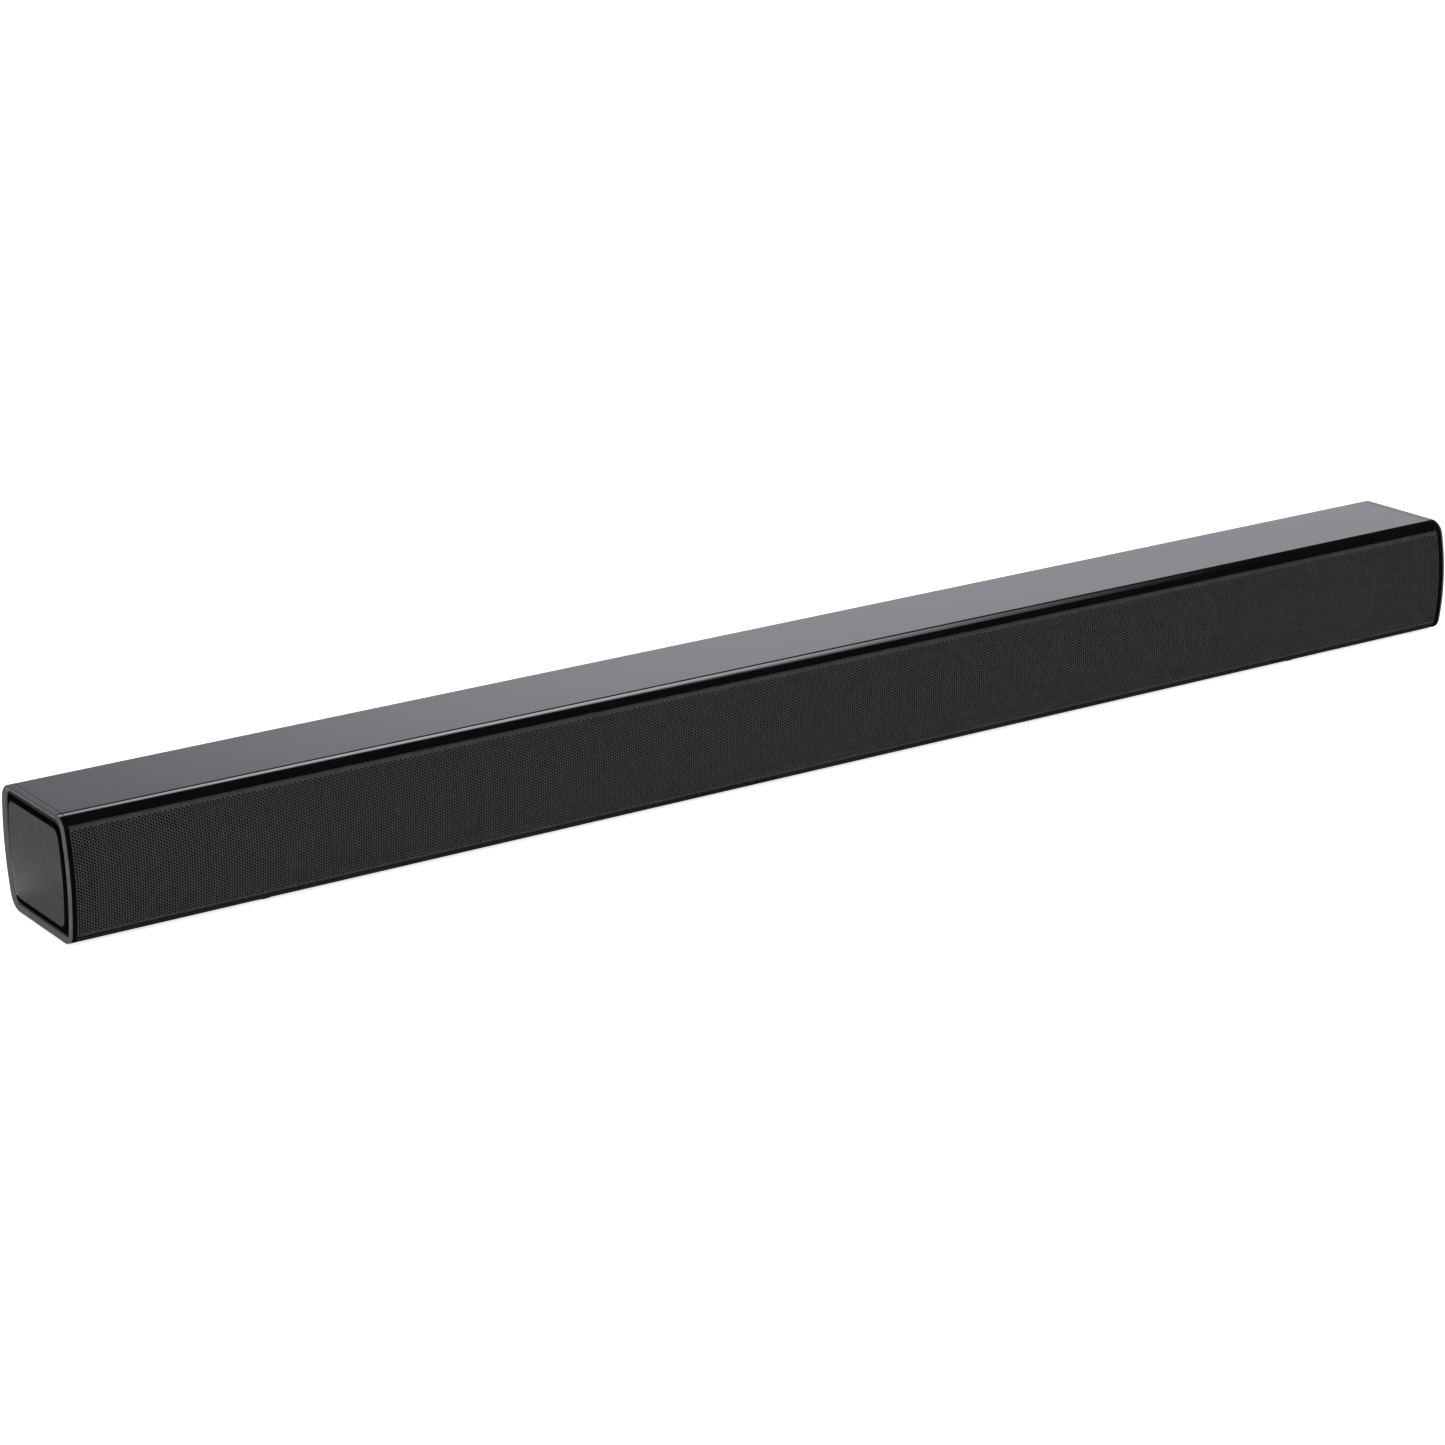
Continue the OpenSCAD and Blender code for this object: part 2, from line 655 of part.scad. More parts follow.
module optical_socket() color([0.07, 0.07, 0.07]) lift() difference() {
    block([optical_x - optical_size[0] / 2, socket_back_y, board_top],
          [optical_x + optical_size[0] / 2, bay_y, board_top + optical_size[1]]);
    block([optical_x - optical_cavity[0] / 2, socket_back_y + 2, optical_mid_z - optical_cavity[1] / 2],
          [optical_x + optical_cavity[0] / 2, bay_y + 1, optical_mid_z + optical_cavity[1] / 2]);
    rod_x(optical_x - 5.2, optical_x + 5.2, shutter_y, hinge_z, 0.5);
}

// Flap that a plug pushes in, turning on two stub pins at its top edge
module optical_shutter() color([0.1, 0.1, 0.1]) lift() {
    half = optical_cavity[0] / 2 - shutter_gap;
    block([optical_x - half, shutter_y - shutter_t / 2, optical_mid_z - optical_cavity[1] / 2 + shutter_gap],
          [optical_x + half, shutter_y + shutter_t / 2, hinge_z]);
    rod_x(optical_x - 5, optical_x + 5, shutter_y, hinge_z, 0.45);
}

// ---- power supply ----

module power_board() color([0.04, 0.26, 0.12]) lift() difference() {
    block([power_x[0], board_y[0], board_z], [power_x[1], board_y[1], board_top]);
    for (p = power_posts) rod_z(p[0], p[1], board_z - 1, board_top + 1, 1.4);
}

module transformer() color([0.75, 0.6, 0.15]) lift() {
    block([-124, -12, board_top], [-98, 10, board_top + 4]);
    block([-120, -8, board_top + 4], [-102, 6, board_top + 18]);
    block([-124, -12, board_top + 18], [-98, 10, board_top + 22]);
}

module power_capacitors() color([0.1, 0.12, 0.3]) lift() {
    rod_z(-174, -5, board_top, board_top + 26, 7.5);
    for (y = [-6, 8]) rod_z(-80, y, board_top, board_top + 22, 5.5);
}

// Two-pin mains inlet in its recess
module mains_inlet() color([0.05, 0.05, 0.05]) lift() {
    difference() {
        union() {
            block([inlet_x - 12, 8, board_top], [inlet_x + 12, inlet_y - bay_wall, inlet_z + 8]);
            translate([inlet_x, 0, inlet_z])
                oval(inlet_y - bay_wall - 0.5, inlet_y, inlet_pitch, inlet_nose_r);
        }
        translate([inlet_x, 0, inlet_z]) oval(14, inlet_y + 1, inlet_pitch, inlet_nose_r - 1.2);
    }
    for (s = [-1, 1]) rod_y(inlet_x + s * inlet_pitch / 2, 13, inlet_y - 3, inlet_z, 1.2);
}

// ---- lamps and remote eye behind the grille ----

lamp_y = baffle_y + baffle_t + 0.2;     // front of the lamp board

module led_board() color([0.04, 0.26, 0.12]) lift()
    block([led_x[0] - 8, lamp_y, led_z - 8], [ir_x + 10, lamp_y + board_t, led_z + 8]);

module status_leds() color([0.85, 0.85, 0.8]) lift()
    for (x = led_x) rod_y(x, lamp_y - 2.4, lamp_y, led_z, 1.5);

module ir_receiver() color([0.08, 0.03, 0.03]) lift() {
    block([ir_x - 3, lamp_y - 2, led_z - 3.5], [ir_x + 3, lamp_y, led_z + 3.5]);
    intersection() {
        translate([ir_x, lamp_y - 2, led_z]) sphere(2.4);
        block([ir_x - 3, lamp_y - 5, led_z - 3], [ir_x + 3, lamp_y - 2, led_z + 3]);
    }
}

// ---- wiring inside the body ----

lead_r = 1.5;

// driver leads: from under the main board, low along the bottom, through the chamber wall, to the basket
function lead_end(s) = [
    [s * 228, 12, 8], [s * 262, 12, 8], [s * 286, 8, 9], [s * 292, -16, 24],
    [s * (driver_x - 38), -20.5, driver_z]];

module speaker_lead_left() color([0.5, 0.05, 0.05]) lift()
    wire(concat([[48, -2, 15.4], [30, 0, 9], [-200, 2, 8]], lead_end(-1)), lead_r);

module speaker_lead_right() color([0.5, 0.05, 0.05]) lift()
    wire(concat([[172, -2, 15.4], [190, 0, 9]], lead_end(1)), lead_r);

module button_lead() color([0.2, 0.2, 0.2]) lift()
    wire([[171, 11, 16], [192, 14, 11.5], [228, 14, 11.5], [262, 14, 11.5],
          [292, 16, 6], [388, 10, 6], [402, 4, 14], [409, 0, 28]], lead_r / 2);

module ribbon_cable() color([0.75, 0.75, 0.72]) lift() {
    block([62, -13.4, board_top], [76, -13.1, led_z]);
    block([62, lamp_y + board_t, led_z], [76, -13.1, led_z + 0.3]);
}

// ---- fixings ----

// Steel plates with the keyholes that a wall screw hooks into
module wall_hangers() color([0.75, 0.75, 0.77]) lift() for (s = [-1, 1]) difference() {
    block([s * hanger_x - hanger_half_w + 0.2, hanger_y - hanger_t, hanger_z[0] + 0.2],
          [s * hanger_x + hanger_half_w - 0.2, hanger_y, hanger_z[1] - 0.2]);
    rod_y(s * hanger_x, 0, bar_d, key_z, key_r);
    rod_y(s * hanger_x, 0, bar_d, key_z + key_rise, key_slot_r);
    block([s * hanger_x - key_slot_r, 0, key_z], [s * hanger_x + key_slot_r, bar_d, key_z + key_rise]);
    for (z = hanger_screw_z) rod_y(s * hanger_x, 0, bar_d, z, 1.5);
}

module hanger_screws() color([0.6, 0.6, 0.62]) lift() for (s = [-1, 1]) for (z = hanger_screw_z) {
    rod_y(s * hanger_x, hanger_y, hanger_y + 1.4, z, 2.6);
    rod_y(s * hanger_x, hanger_y - 7, hanger_y, z, 1.1);
}

module rubber_feet() color([0.05, 0.05, 0.05]) lift() for (p = foot_places)
    rod_z(p[0], p[1], -foot_h, foot_recess, foot_r);

module case_screws() color([0.3, 0.3, 0.31]) lift() for (p = case_rows) {
    rod_z(p[0], p[1], head_seat - 2, head_seat, 2.8);
    rod_z(p[0], p[1], head_seat, 27, 1.1);
}

module board_screws() color([0.6, 0.6, 0.62]) lift() {
    for (p = concat(main_posts, power_posts)) {
        rod_z(p[0], p[1], board_top, board_top + 1.6, 2.5);
        rod_z(p[0], p[1], board_z - 6, board_top, 1.1);
    }
    for (p = button_posts) {
        rod_x(board_x - 1.6, board_x, p[0], p[1], 2.5);
        rod_x(board_x, board_x + 6, p[0], p[1], 1);
    }
}

top_cover();
rear_cover();
bottom_cover();
case_posts();
connector_tray();
inlet_tray();
hanger_trays();
end_cap_left();
end_cap_right();
end_panel_left();
end_panel_right();
front_grille();
grille_frame();
front_baffle();
chamber_walls();
driver_basket_left();
driver_basket_right();
driver_magnet_left();
driver_magnet_right();
driver_surround_left();
driver_surround_right();
driver_cone_left();
driver_cone_right();
driver_spiders();
driver_gaskets();
driver_screws();
power_button();
input_button();
bluetooth_button();
volume_down_button();
volume_up_button();
button_board();
tact_switches();
main_board();
amplifier_chip();
heatsink();
board_capacitors();
bluetooth_module();
hdmi_socket();
usb_socket();
aux_socket();
optical_socket();
optical_shutter();
power_board();
transformer();
power_capacitors();
mains_inlet();
led_board();
status_leds();
ir_receiver();
speaker_lead_left();
speaker_lead_right();
button_lead();
ribbon_cable();
wall_hangers();
hanger_screws();
rubber_feet();
case_screws();
board_screws();
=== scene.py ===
import json
import math

import bpy
import numpy as np
from mathutils import Euler, Matrix, Vector


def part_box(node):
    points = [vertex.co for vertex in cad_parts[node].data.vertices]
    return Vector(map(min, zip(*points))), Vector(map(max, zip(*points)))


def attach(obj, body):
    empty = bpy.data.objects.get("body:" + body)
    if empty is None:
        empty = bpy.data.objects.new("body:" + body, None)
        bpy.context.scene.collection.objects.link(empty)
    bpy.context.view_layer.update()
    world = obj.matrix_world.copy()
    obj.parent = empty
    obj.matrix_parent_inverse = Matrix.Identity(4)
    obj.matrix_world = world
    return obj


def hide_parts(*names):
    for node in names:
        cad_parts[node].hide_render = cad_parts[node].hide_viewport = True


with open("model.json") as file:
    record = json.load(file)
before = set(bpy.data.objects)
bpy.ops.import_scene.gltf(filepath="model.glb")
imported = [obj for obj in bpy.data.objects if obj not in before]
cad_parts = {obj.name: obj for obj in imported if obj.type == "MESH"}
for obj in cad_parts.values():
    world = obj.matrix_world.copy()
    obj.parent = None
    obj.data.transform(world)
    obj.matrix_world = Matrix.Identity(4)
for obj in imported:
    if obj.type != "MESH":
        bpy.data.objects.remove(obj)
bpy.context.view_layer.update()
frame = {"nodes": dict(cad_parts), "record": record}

MM = 0.001

# ---- sizes in millimetres, from the frame ----

END_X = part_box("end_cap_right")[1].x / MM          # crest of the end cap's rim
SHELL_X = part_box("top_cover")[1].x / MM            # ends of the covers
BODY_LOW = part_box("bottom_cover")[0].z / MM        # underside of the body, on its feet
BODY_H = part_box("top_cover")[1].z / MM - BODY_LOW
BAR_D = 75.0
SEAM = 0.2                                         # gap between neighbouring covers
GRILLE_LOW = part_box("front_grille")[0].z / MM - BODY_LOW
GRILLE_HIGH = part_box("front_grille")[1].z / MM - BODY_LOW
PANEL_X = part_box("end_panel_right")[1].x / MM
SPLIT_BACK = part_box("rear_cover")[1].z / MM - BODY_LOW
BUTTONS = ["power_button", "input_button", "bluetooth_button", "volume_down_button", "volume_up_button"]

# ---- outline of the bar, as the CAD model draws it ----

WALL = 2.2
BULGE = 4.0                                        # how far the front and back bow out
BULGE_R = (BODY_H / 2) ** 2 / (2 * BULGE)
BULGE_Z = 33.2                                     # height where they stand out furthest
CORNER_R = {"top_front": 8.8, "top_back": 9.2, "low_front": 6.8, "low_back": 9.6}
LEAST_R = 0.4                                      # smallest corner that an inset outline keeps
CORNER_STEPS = 20
BOW_STEPS = 30


def corner(inset, name, least):
    """Centre and radius of one rounded corner of the outline inset by a distance."""
    radius = max(CORNER_R[name] - inset, least)
    z = BODY_H - inset - radius if name.startswith("top") else inset + radius
    reach = math.sqrt((BULGE_R - inset - radius) ** 2 - (z - BULGE_Z) ** 2)
    side = -1 if name.endswith("front") else 1
    return (side * (BAR_D / 2 - BULGE_R + reach), z), radius


def arc(centre, radius, start, end, steps):
    angles = [math.radians(start + (end - start) * k / steps) for k in range(steps + 1)]
    return [(centre[0] + radius * math.cos(a), centre[1] + radius * math.sin(a)) for a in angles]


def turn_to(centre, point):
    return math.degrees(math.atan2(point[1] - centre[1], point[0] - centre[0]))


def outline(inset, least=LEAST_R):
    """Closed (y, z) outline of the bar, inset by a distance, anticlockwise from the back's top."""
    corners = {name: corner(inset, name, least) for name in CORNER_R}
    front, back = (BULGE_R - BAR_D / 2, BULGE_Z), (BAR_D / 2 - BULGE_R, BULGE_Z)
    turns = {name: turn_to(front if "front" in name else back, corners[name][0]) for name in CORNER_R}
    top_front = turns["top_front"] % 360
    low_front = turns["low_front"] % 360
    bow_r = BULGE_R - inset
    return (
        arc(*corners["top_back"], turns["top_back"], 90, CORNER_STEPS)
        + arc(*corners["top_front"], 90, top_front, CORNER_STEPS)
        + arc(front, bow_r, top_front, low_front, BOW_STEPS)[1:-1]
        + arc(*corners["low_front"], low_front, 270, CORNER_STEPS)
        + arc(*corners["low_back"], 270, 360 + turns["low_back"], CORNER_STEPS)
        + arc(back, bow_r, turns["low_back"], turns["top_back"], BOW_STEPS)[1:-1])


# ---- making meshes ----

def mesh_piece(name, points, faces, body="housing"):
    """A mesh from points in millimetres above the body's underside, riding on a body."""
    mesh = bpy.data.meshes.new(name)
    placed = [(x * MM, y * MM, (z + BODY_LOW) * MM) for x, y, z in points]
    mesh.from_pydata(placed, [], faces)
    mesh.validate()
    mesh.update()
    mesh.shade_smooth()
    piece = bpy.data.objects.new(name, mesh)
    bpy.context.collection.objects.link(piece)
    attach(piece, body)
    return piece


def bevel(piece, width, segments=2, angle=35, merge=False):
    """Rounds a piece's sharp edges; a CAD node's loose faces are merged first."""
    if merge:
        weld = piece.modifiers.new("weld", "WELD")
        weld.merge_threshold = 1e-6
    rounding = piece.modifiers.new("edges", "BEVEL")
    rounding.width = width * MM
    rounding.segments = segments
    rounding.limit_method = "ANGLE"
    rounding.angle_limit = math.radians(angle)
    rounding.harden_normals = True
    rounding.use_clamp_overlap = True


def sharpen(piece, angle=30):
    piece.data.set_sharp_from_angle(angle=math.radians(angle))


def section_piece(name, section, low_x, high_x, edge=0.25):
    """A (y, z) section extruded along X, with its long and end edges rounded."""
    count = len(section)
    points = [(x, y, z) for x in (low_x, high_x) for y, z in section]
    faces = [(k, (k + 1) % count, count + (k + 1) % count, count + k) for k in range(count)]
    faces += [tuple(reversed(range(count))), tuple(range(count, 2 * count))]
    piece = mesh_piece(name, points, faces)
    sharpen(piece)
    bevel(piece, edge)
    return piece


def loft_piece(name, rings, mirrored=False, hollow=False):
    """Rings of (x, inset, least corner radius), lofted in order.

    The piece is closed at both ends, or from its last ring to its first if it is hollow.
    """
    sections = [[(x, y, z) for y, z in outline(inset, least)] for x, inset, least in rings]
    count = len(sections[0])
    points = [p for ring in sections for p in ring]
    faces = [(r * count + k, r * count + (k + 1) % count,
              (r + 1) * count + (k + 1) % count, (r + 1) * count + k)
             for r in range(len(rings) - 1) for k in range(count)]
    last = (len(rings) - 1) * count
    if hollow:
        faces += [(last + k, last + (k + 1) % count, (k + 1) % count, k) for k in range(count)]
    else:
        faces += [tuple(reversed(range(count))), tuple(range(last, last + count))]
    if mirrored:
        points = [(-x, y, z) for x, y, z in points]
        faces = [tuple(reversed(f)) for f in faces]
    piece = mesh_piece(name, points, faces)
    sharpen(piece)
    return piece


def cut_holes(piece, cutters):
    """Subtracts cutter objects, which are then hidden from everything."""
    for cutter in cutters:
        hole = piece.modifiers.new("hole", "BOOLEAN")
        hole.object = cutter
        hole.solver = "EXACT"
    bpy.context.view_layer.update()
    made = bpy.data.meshes.new_from_object(piece.evaluated_get(bpy.context.evaluated_depsgraph_get()))
    piece.modifiers.clear()
    piece.data = made
    for cutter in cutters:
        bpy.data.objects.remove(cutter)


def rod_cutter(axis, low, high, centre, radius, sides=48):
    """A cylinder along X, Y or Z, given in the body's millimetres."""
    ring = [(radius * math.cos(2 * math.pi * k / sides), radius * math.sin(2 * math.pi * k / sides))
            for k in range(sides)]
    order = {"x": lambda a, u, v: (a, u, v), "y": lambda a, u, v: (v, a, u), "z": lambda a, u, v: (u, v, a)}
    points = [order[axis](a, centre[0] + u, centre[1] + v) for a in (low, high) for u, v in ring]
    faces = [(k, (k + 1) % sides, sides + (k + 1) % sides, sides + k) for k in range(sides)]
    faces += [tuple(reversed(range(sides))), tuple(range(sides, 2 * sides))]
    mesh = bpy.data.meshes.new("cutter")
    mesh.from_pydata([(x * MM, y * MM, (z + BODY_LOW) * MM) for x, y, z in points], [], faces)
    cutter = bpy.data.objects.new("cutter", mesh)
    bpy.context.collection.objects.link(cutter)
    return cutter


# ---- shell over the top ----

def top_cover():
    """Gloss shell: lip over the grille, flat top and back corner."""
    lip = GRILLE_HIGH + SEAM

    def kept(inset):
        """The outline above both lower edges, from the back round to the lip."""
        points = []
        for side, low in ((-1, lip), (1, SPLIT_BACK + SEAM)):
            half = sorted((p for p in outline(inset) if p[0] * side > 0), key=lambda p: p[1])
            edge = np.interp(low, [p[1] for p in half], [p[0] for p in half])
            points += [(float(edge), low)] + [p for p in half if p[1] > low + 0.01]
        return sorted(points, key=lambda p: math.atan2(p[1] - BODY_H + 20, p[0]))

    section = kept(0) + kept(WALL)[::-1]
    piece = section_piece("top_shell", section, -SHELL_X, SHELL_X, edge=0.22)
    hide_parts("top_cover")
    return piece


# ---- end caps and their panels ----

RIM_W = 3.2                                        # from the outline to the groove
RIM_CREST = 0.9                                    # from the outline to the rim's crest
GROOVE_D = 1.5
RIM_BOW = 0.18                                     # how far the rim's inner slope and the bevel bow out
BEVEL_BOW = 0.25
PANEL_INSET = 7.3                                  # from the outline to the panel's seat
PANEL_CORNER = 5.0
PANEL_T = 1.8
PANEL_GAP = 0.15
CAP_IN_X = SHELL_X + 0.6
SPIGOT_W = 8.0                                     # spigot that slides inside the covers
SPIGOT_OUT = WALL + 0.2                            # insets of its outside and inside
SPIGOT_IN = WALL + 1.8
BUTTON_R = 3.4
STEM_R = 1.3
FLANGE_R = 4.5
BUTTON_GAP = 0.4


def slope(start, end, bow, steps=8):
    """Rings from (x, inset, least radius) to another, bowed outwards by a little, both ends left out."""
    rings = []
    for k in range(1, steps):
        t = k / steps
        x, inset, least = (a + (b - a) * t for a, b in zip(start, end))
        rings.append((x + bow * 4 * t * (1 - t), inset, least))
    return rings


def cap_rings():
    """The end cap's profile: panel seat, bevel, groove, seat of the rim, outside, spigot, inside."""
    seat = (PANEL_X - PANEL_T, PANEL_INSET, PANEL_CORNER)
    bevel_top = (PANEL_X - 0.1, PANEL_INSET - 0.1, PANEL_CORNER)
    groove = END_X - GROOVE_D
    spigot_x = SHELL_X - SPIGOT_W
    profile = [
        (groove, RIM_W + 0.12), (groove, 0.1), (groove - 0.1, 0),
        (SHELL_X + 0.15, 0), (SHELL_X + 0.01, 0.15), (SHELL_X, SPIGOT_OUT),
        (spigot_x, SPIGOT_OUT), (spigot_x, SPIGOT_IN),
        (SHELL_X, SPIGOT_IN), (SHELL_X, WALL * 2), (CAP_IN_X, WALL * 2)]
    return ([seat, (PANEL_X - 0.2, PANEL_INSET, PANEL_CORNER), bevel_top]
            + slope(bevel_top, (groove, RIM_W, LEAST_R), BEVEL_BOW)
            + [(x, inset, LEAST_R) for x, inset in profile])


def rim_rings():
    """The rim's profile: from the groove up its inner slope, over the crest and down the outside."""
    groove = (END_X - GROOVE_D + 0.03, RIM_W - 0.05, LEAST_R)
    crest = (END_X, RIM_CREST, LEAST_R)
    turns = [math.radians(90 * k / 8) for k in range(1, 9)]
    rounding = [(END_X - 1 + math.cos(a), RIM_CREST * (1 - math.sin(a)), LEAST_R) for a in turns]
    return [groove] + slope(groove, crest, RIM_BOW) + [crest] + rounding + [(groove[0], 0, LEAST_R)]


def button_places():
    boxes = [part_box(name) for name in BUTTONS]
    return [((low.y + high.y) / 2 / MM, (low.z + high.z) / 2 / MM - BODY_LOW) for low, high in boxes]


def button_cutters(low_x, high_x):
    return [rod_cutter("x", low_x, high_x, place, BUTTON_R + BUTTON_GAP) for place in button_places()]


def end_rims():
    rims = []
    for side, mirrored in (("left", True), ("right", False)):
        rim = loft_piece("end_rim_" + side, rim_rings(), mirrored, hollow=True)
        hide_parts("end_cap_" + side)
        rims.append(rim)
    return rims


def end_caps():
    caps = []
    for side, mirrored in (("left", True), ("right", False)):
        cap = loft_piece("end_cap_shell_" + side, cap_rings(), mirrored)
        if side == "right":
            cut_holes(cap, button_cutters(SHELL_X - 1, END_X + 1))
            sharpen(cap)
        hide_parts("end_cap_" + side)
        caps.append(cap)
    return caps


def end_panels():
    panels = []
    for side, sign in (("left", -1), ("right", 1)):
        inset = PANEL_INSET + PANEL_GAP
        rings = [(PANEL_X - PANEL_T + 0.05, inset, PANEL_CORNER), (PANEL_X, inset, PANEL_CORNER)]
        panel = loft_piece("end_plate_" + side, rings, sign < 0)
        if side == "right":
            cut_holes(panel, button_cutters(SHELL_X - 1, END_X + 1))
            sharpen(panel)
        bevel(panel, 0.25)
        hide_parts("end_panel_" + side)
        panels.append(panel)
    return panels


# ---- buttons ----

MARK_W = 0.42                                      # width of the strokes of the marks
DISH_DEPTH = 0.12                                  # slight dish in a button's face
MARK_ROOT = 0.05                                   # how far a mark is let into its button
MARK_BELOW = 0.01                                  # and how far its top stays below the button's face


def turned_piece(name, profile, place, body, sides=64):
    """A (x, radius) profile turned round an axis along X at a (y, z) place."""
    turns = [2 * math.pi * k / sides for k in range(sides)]
    points = [(x, place[0] + r * math.cos(a), place[1] + r * math.sin(a))
              for x, r in profile for a in turns]
    faces = [(r * sides + k, r * sides + (k + 1) % sides,
              (r + 1) * sides + (k + 1) % sides, (r + 1) * sides + k)
             for r in range(len(profile) - 1) for k in range(sides)]
    last = (len(profile) - 1) * sides
    faces += [tuple(reversed(range(sides))), tuple(range(last, last + sides))]
    piece = mesh_piece(name, points, faces, body)
    sharpen(piece)
    return piece


def bar_stroke(start, end):
    """Rectangle round a line between two points."""
    (a, b), (c, d) = start, end
    length = math.hypot(c - a, d - b)
    u, v = (c - a) / length * MARK_W / 2, (d - b) / length * MARK_W / 2
    return [(a - u + v, b - v - u), (c + u + v, d + v - u), (c + u - v, d + v + u), (a - u - v, b - v + u)]


def arc_stroke(centre, radius, start, end, steps=20):
    outer = arc(centre, radius + MARK_W / 2, start, end, steps)
    return outer + arc(centre, radius - MARK_W / 2, start, end, steps)[::-1]


def button_marks():
    """Strokes of the marks seen from the right end: power, input, wireless waves, minus and plus."""
    across = bar_stroke((-1.4, 0), (1.4, 0))
    return {
        "power_button": [arc_stroke((0, 0), 1.45, 125, 415), bar_stroke((0, 0.5), (0, 1.75))],
        "input_button": [bar_stroke((-1.7, 0), (0.3, 0)), bar_stroke((-0.5, 0.8), (0.25, 0.05)),
                         bar_stroke((-0.5, -0.8), (0.25, -0.05)), bar_stroke((1.6, -1.5), (1.6, 1.5)),
                         bar_stroke((0.3, 1.5), (1.2, 1.5)), bar_stroke((0.3, -1.5), (1.2, -1.5))],
        "bluetooth_button": [arc((0, -1.2), 0.35, 0, 345, 23), arc_stroke((0, -1.2), 1.3, 45, 135),
                             arc_stroke((0, -1.2), 2.3, 45, 135)],
        "volume_down_button": [across],
        "volume_up_button": [across, bar_stroke((0, 0.62), (0, 1.4)), bar_stroke((0, -0.62), (0, -1.4))],
    }


def mark_piece(name, strokes, low_x, high_x, place, body):
    points, faces = [], []
    for stroke in strokes:
        first, count = len(points), len(stroke)
        points += [(x, place[0] + u, place[1] + v) for x in (low_x, high_x) for u, v in stroke]
        faces += [(first + k, first + (k + 1) % count, first + count + (k + 1) % count, first + count + k)
                  for k in range(count)]
        faces += [tuple(range(first + count - 1, first - 1, -1)),
                  tuple(range(first + count, first + 2 * count))]
    piece = mesh_piece(name, points, faces, body)
    sharpen(piece)
    return piece


def buttons():
    """Caps with a rounded edge and a slight dish, their flange and stem, and a raised mark on each."""
    caps, marks = [], []
    strokes = button_marks()
    flange_x = CAP_IN_X - 0.5
    for name, place in zip(BUTTONS, button_places()):
        low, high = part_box(name)
        stem_x, face_x = low.x / MM, high.x / MM
        edge = [(face_x - 0.5 + 0.5 * math.sin(a), BUTTON_R - 0.5 + 0.5 * math.cos(a))
                for a in (math.radians(15 * k) for k in range(7))]
        dish = [(face_x - DISH_DEPTH, BUTTON_R - 0.8), (face_x - DISH_DEPTH, 0.02)]
        profile = [(stem_x, 0.02), (stem_x, STEM_R), (flange_x - 1.4, STEM_R), (flange_x - 1.4, FLANGE_R),
                   (flange_x, FLANGE_R), (flange_x, BUTTON_R)] + edge + dish
        cap = turned_piece(name + "_cap", profile, place, name)
        mark = mark_piece(name + "_mark", strokes[name],
                          face_x - DISH_DEPTH - MARK_ROOT, face_x - MARK_BELOW, place, name)
        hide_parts(name)
        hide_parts(name)
        caps.append(cap)
        marks.append(mark)
    return caps, marks


# ---- perforated front ----

HOLE_PITCH = 2 * END_X / 542                       # between the holes of one upright column
COLUMN = HOLE_PITCH * math.sqrt(3) / 2             # between columns
HOLE_R = 0.64
HOLE_BACK_R = 0.57
SHEET_T = 0.15                                     # thinner than real sheet; its holes taper by 22 degrees
GRILLE_SINK = 0.4
GRILLE_SECTIONS = 5
LOW_STRIP = 1.5                                    # plain steel below the holes
HIGH_STRIP = 0.5
SIDE_STRIP = 0.5


def grille_line():
    """The grille's curve in (y, z), bottom first, and the distance along it at each point."""
    points = [p for p in outline(GRILLE_SINK) if p[0] < 0 and GRILLE_LOW - 0.4 <= p[1] <= GRILLE_HIGH + 0.4]
    line = np.array(sorted(points, key=lambda p: p[1]))
    length = np.concatenate([[0], np.cumsum(np.hypot(*np.diff(line, axis=0).T))])
    ends = np.interp([GRILLE_LOW, GRILLE_HIGH], line[:, 1], length)
    return line, length - ends[0], ends[1] - ends[0]


def bent(line, length, x, s, depth):
    """Points at (x, s) on the grille's curve, pushed in by a depth."""
    step = 0.3
    y, z = (np.interp(s, length, line[:, k]) for k in (0, 1))
    dy, dz = (np.interp(s + step, length, line[:, k]) - np.interp(s - step, length, line[:, k])
              for k in (0, 1))
    size = np.hypot(dy, dz)
    return np.stack([x, y + depth * dz / size, z - depth * dy / size], -1)


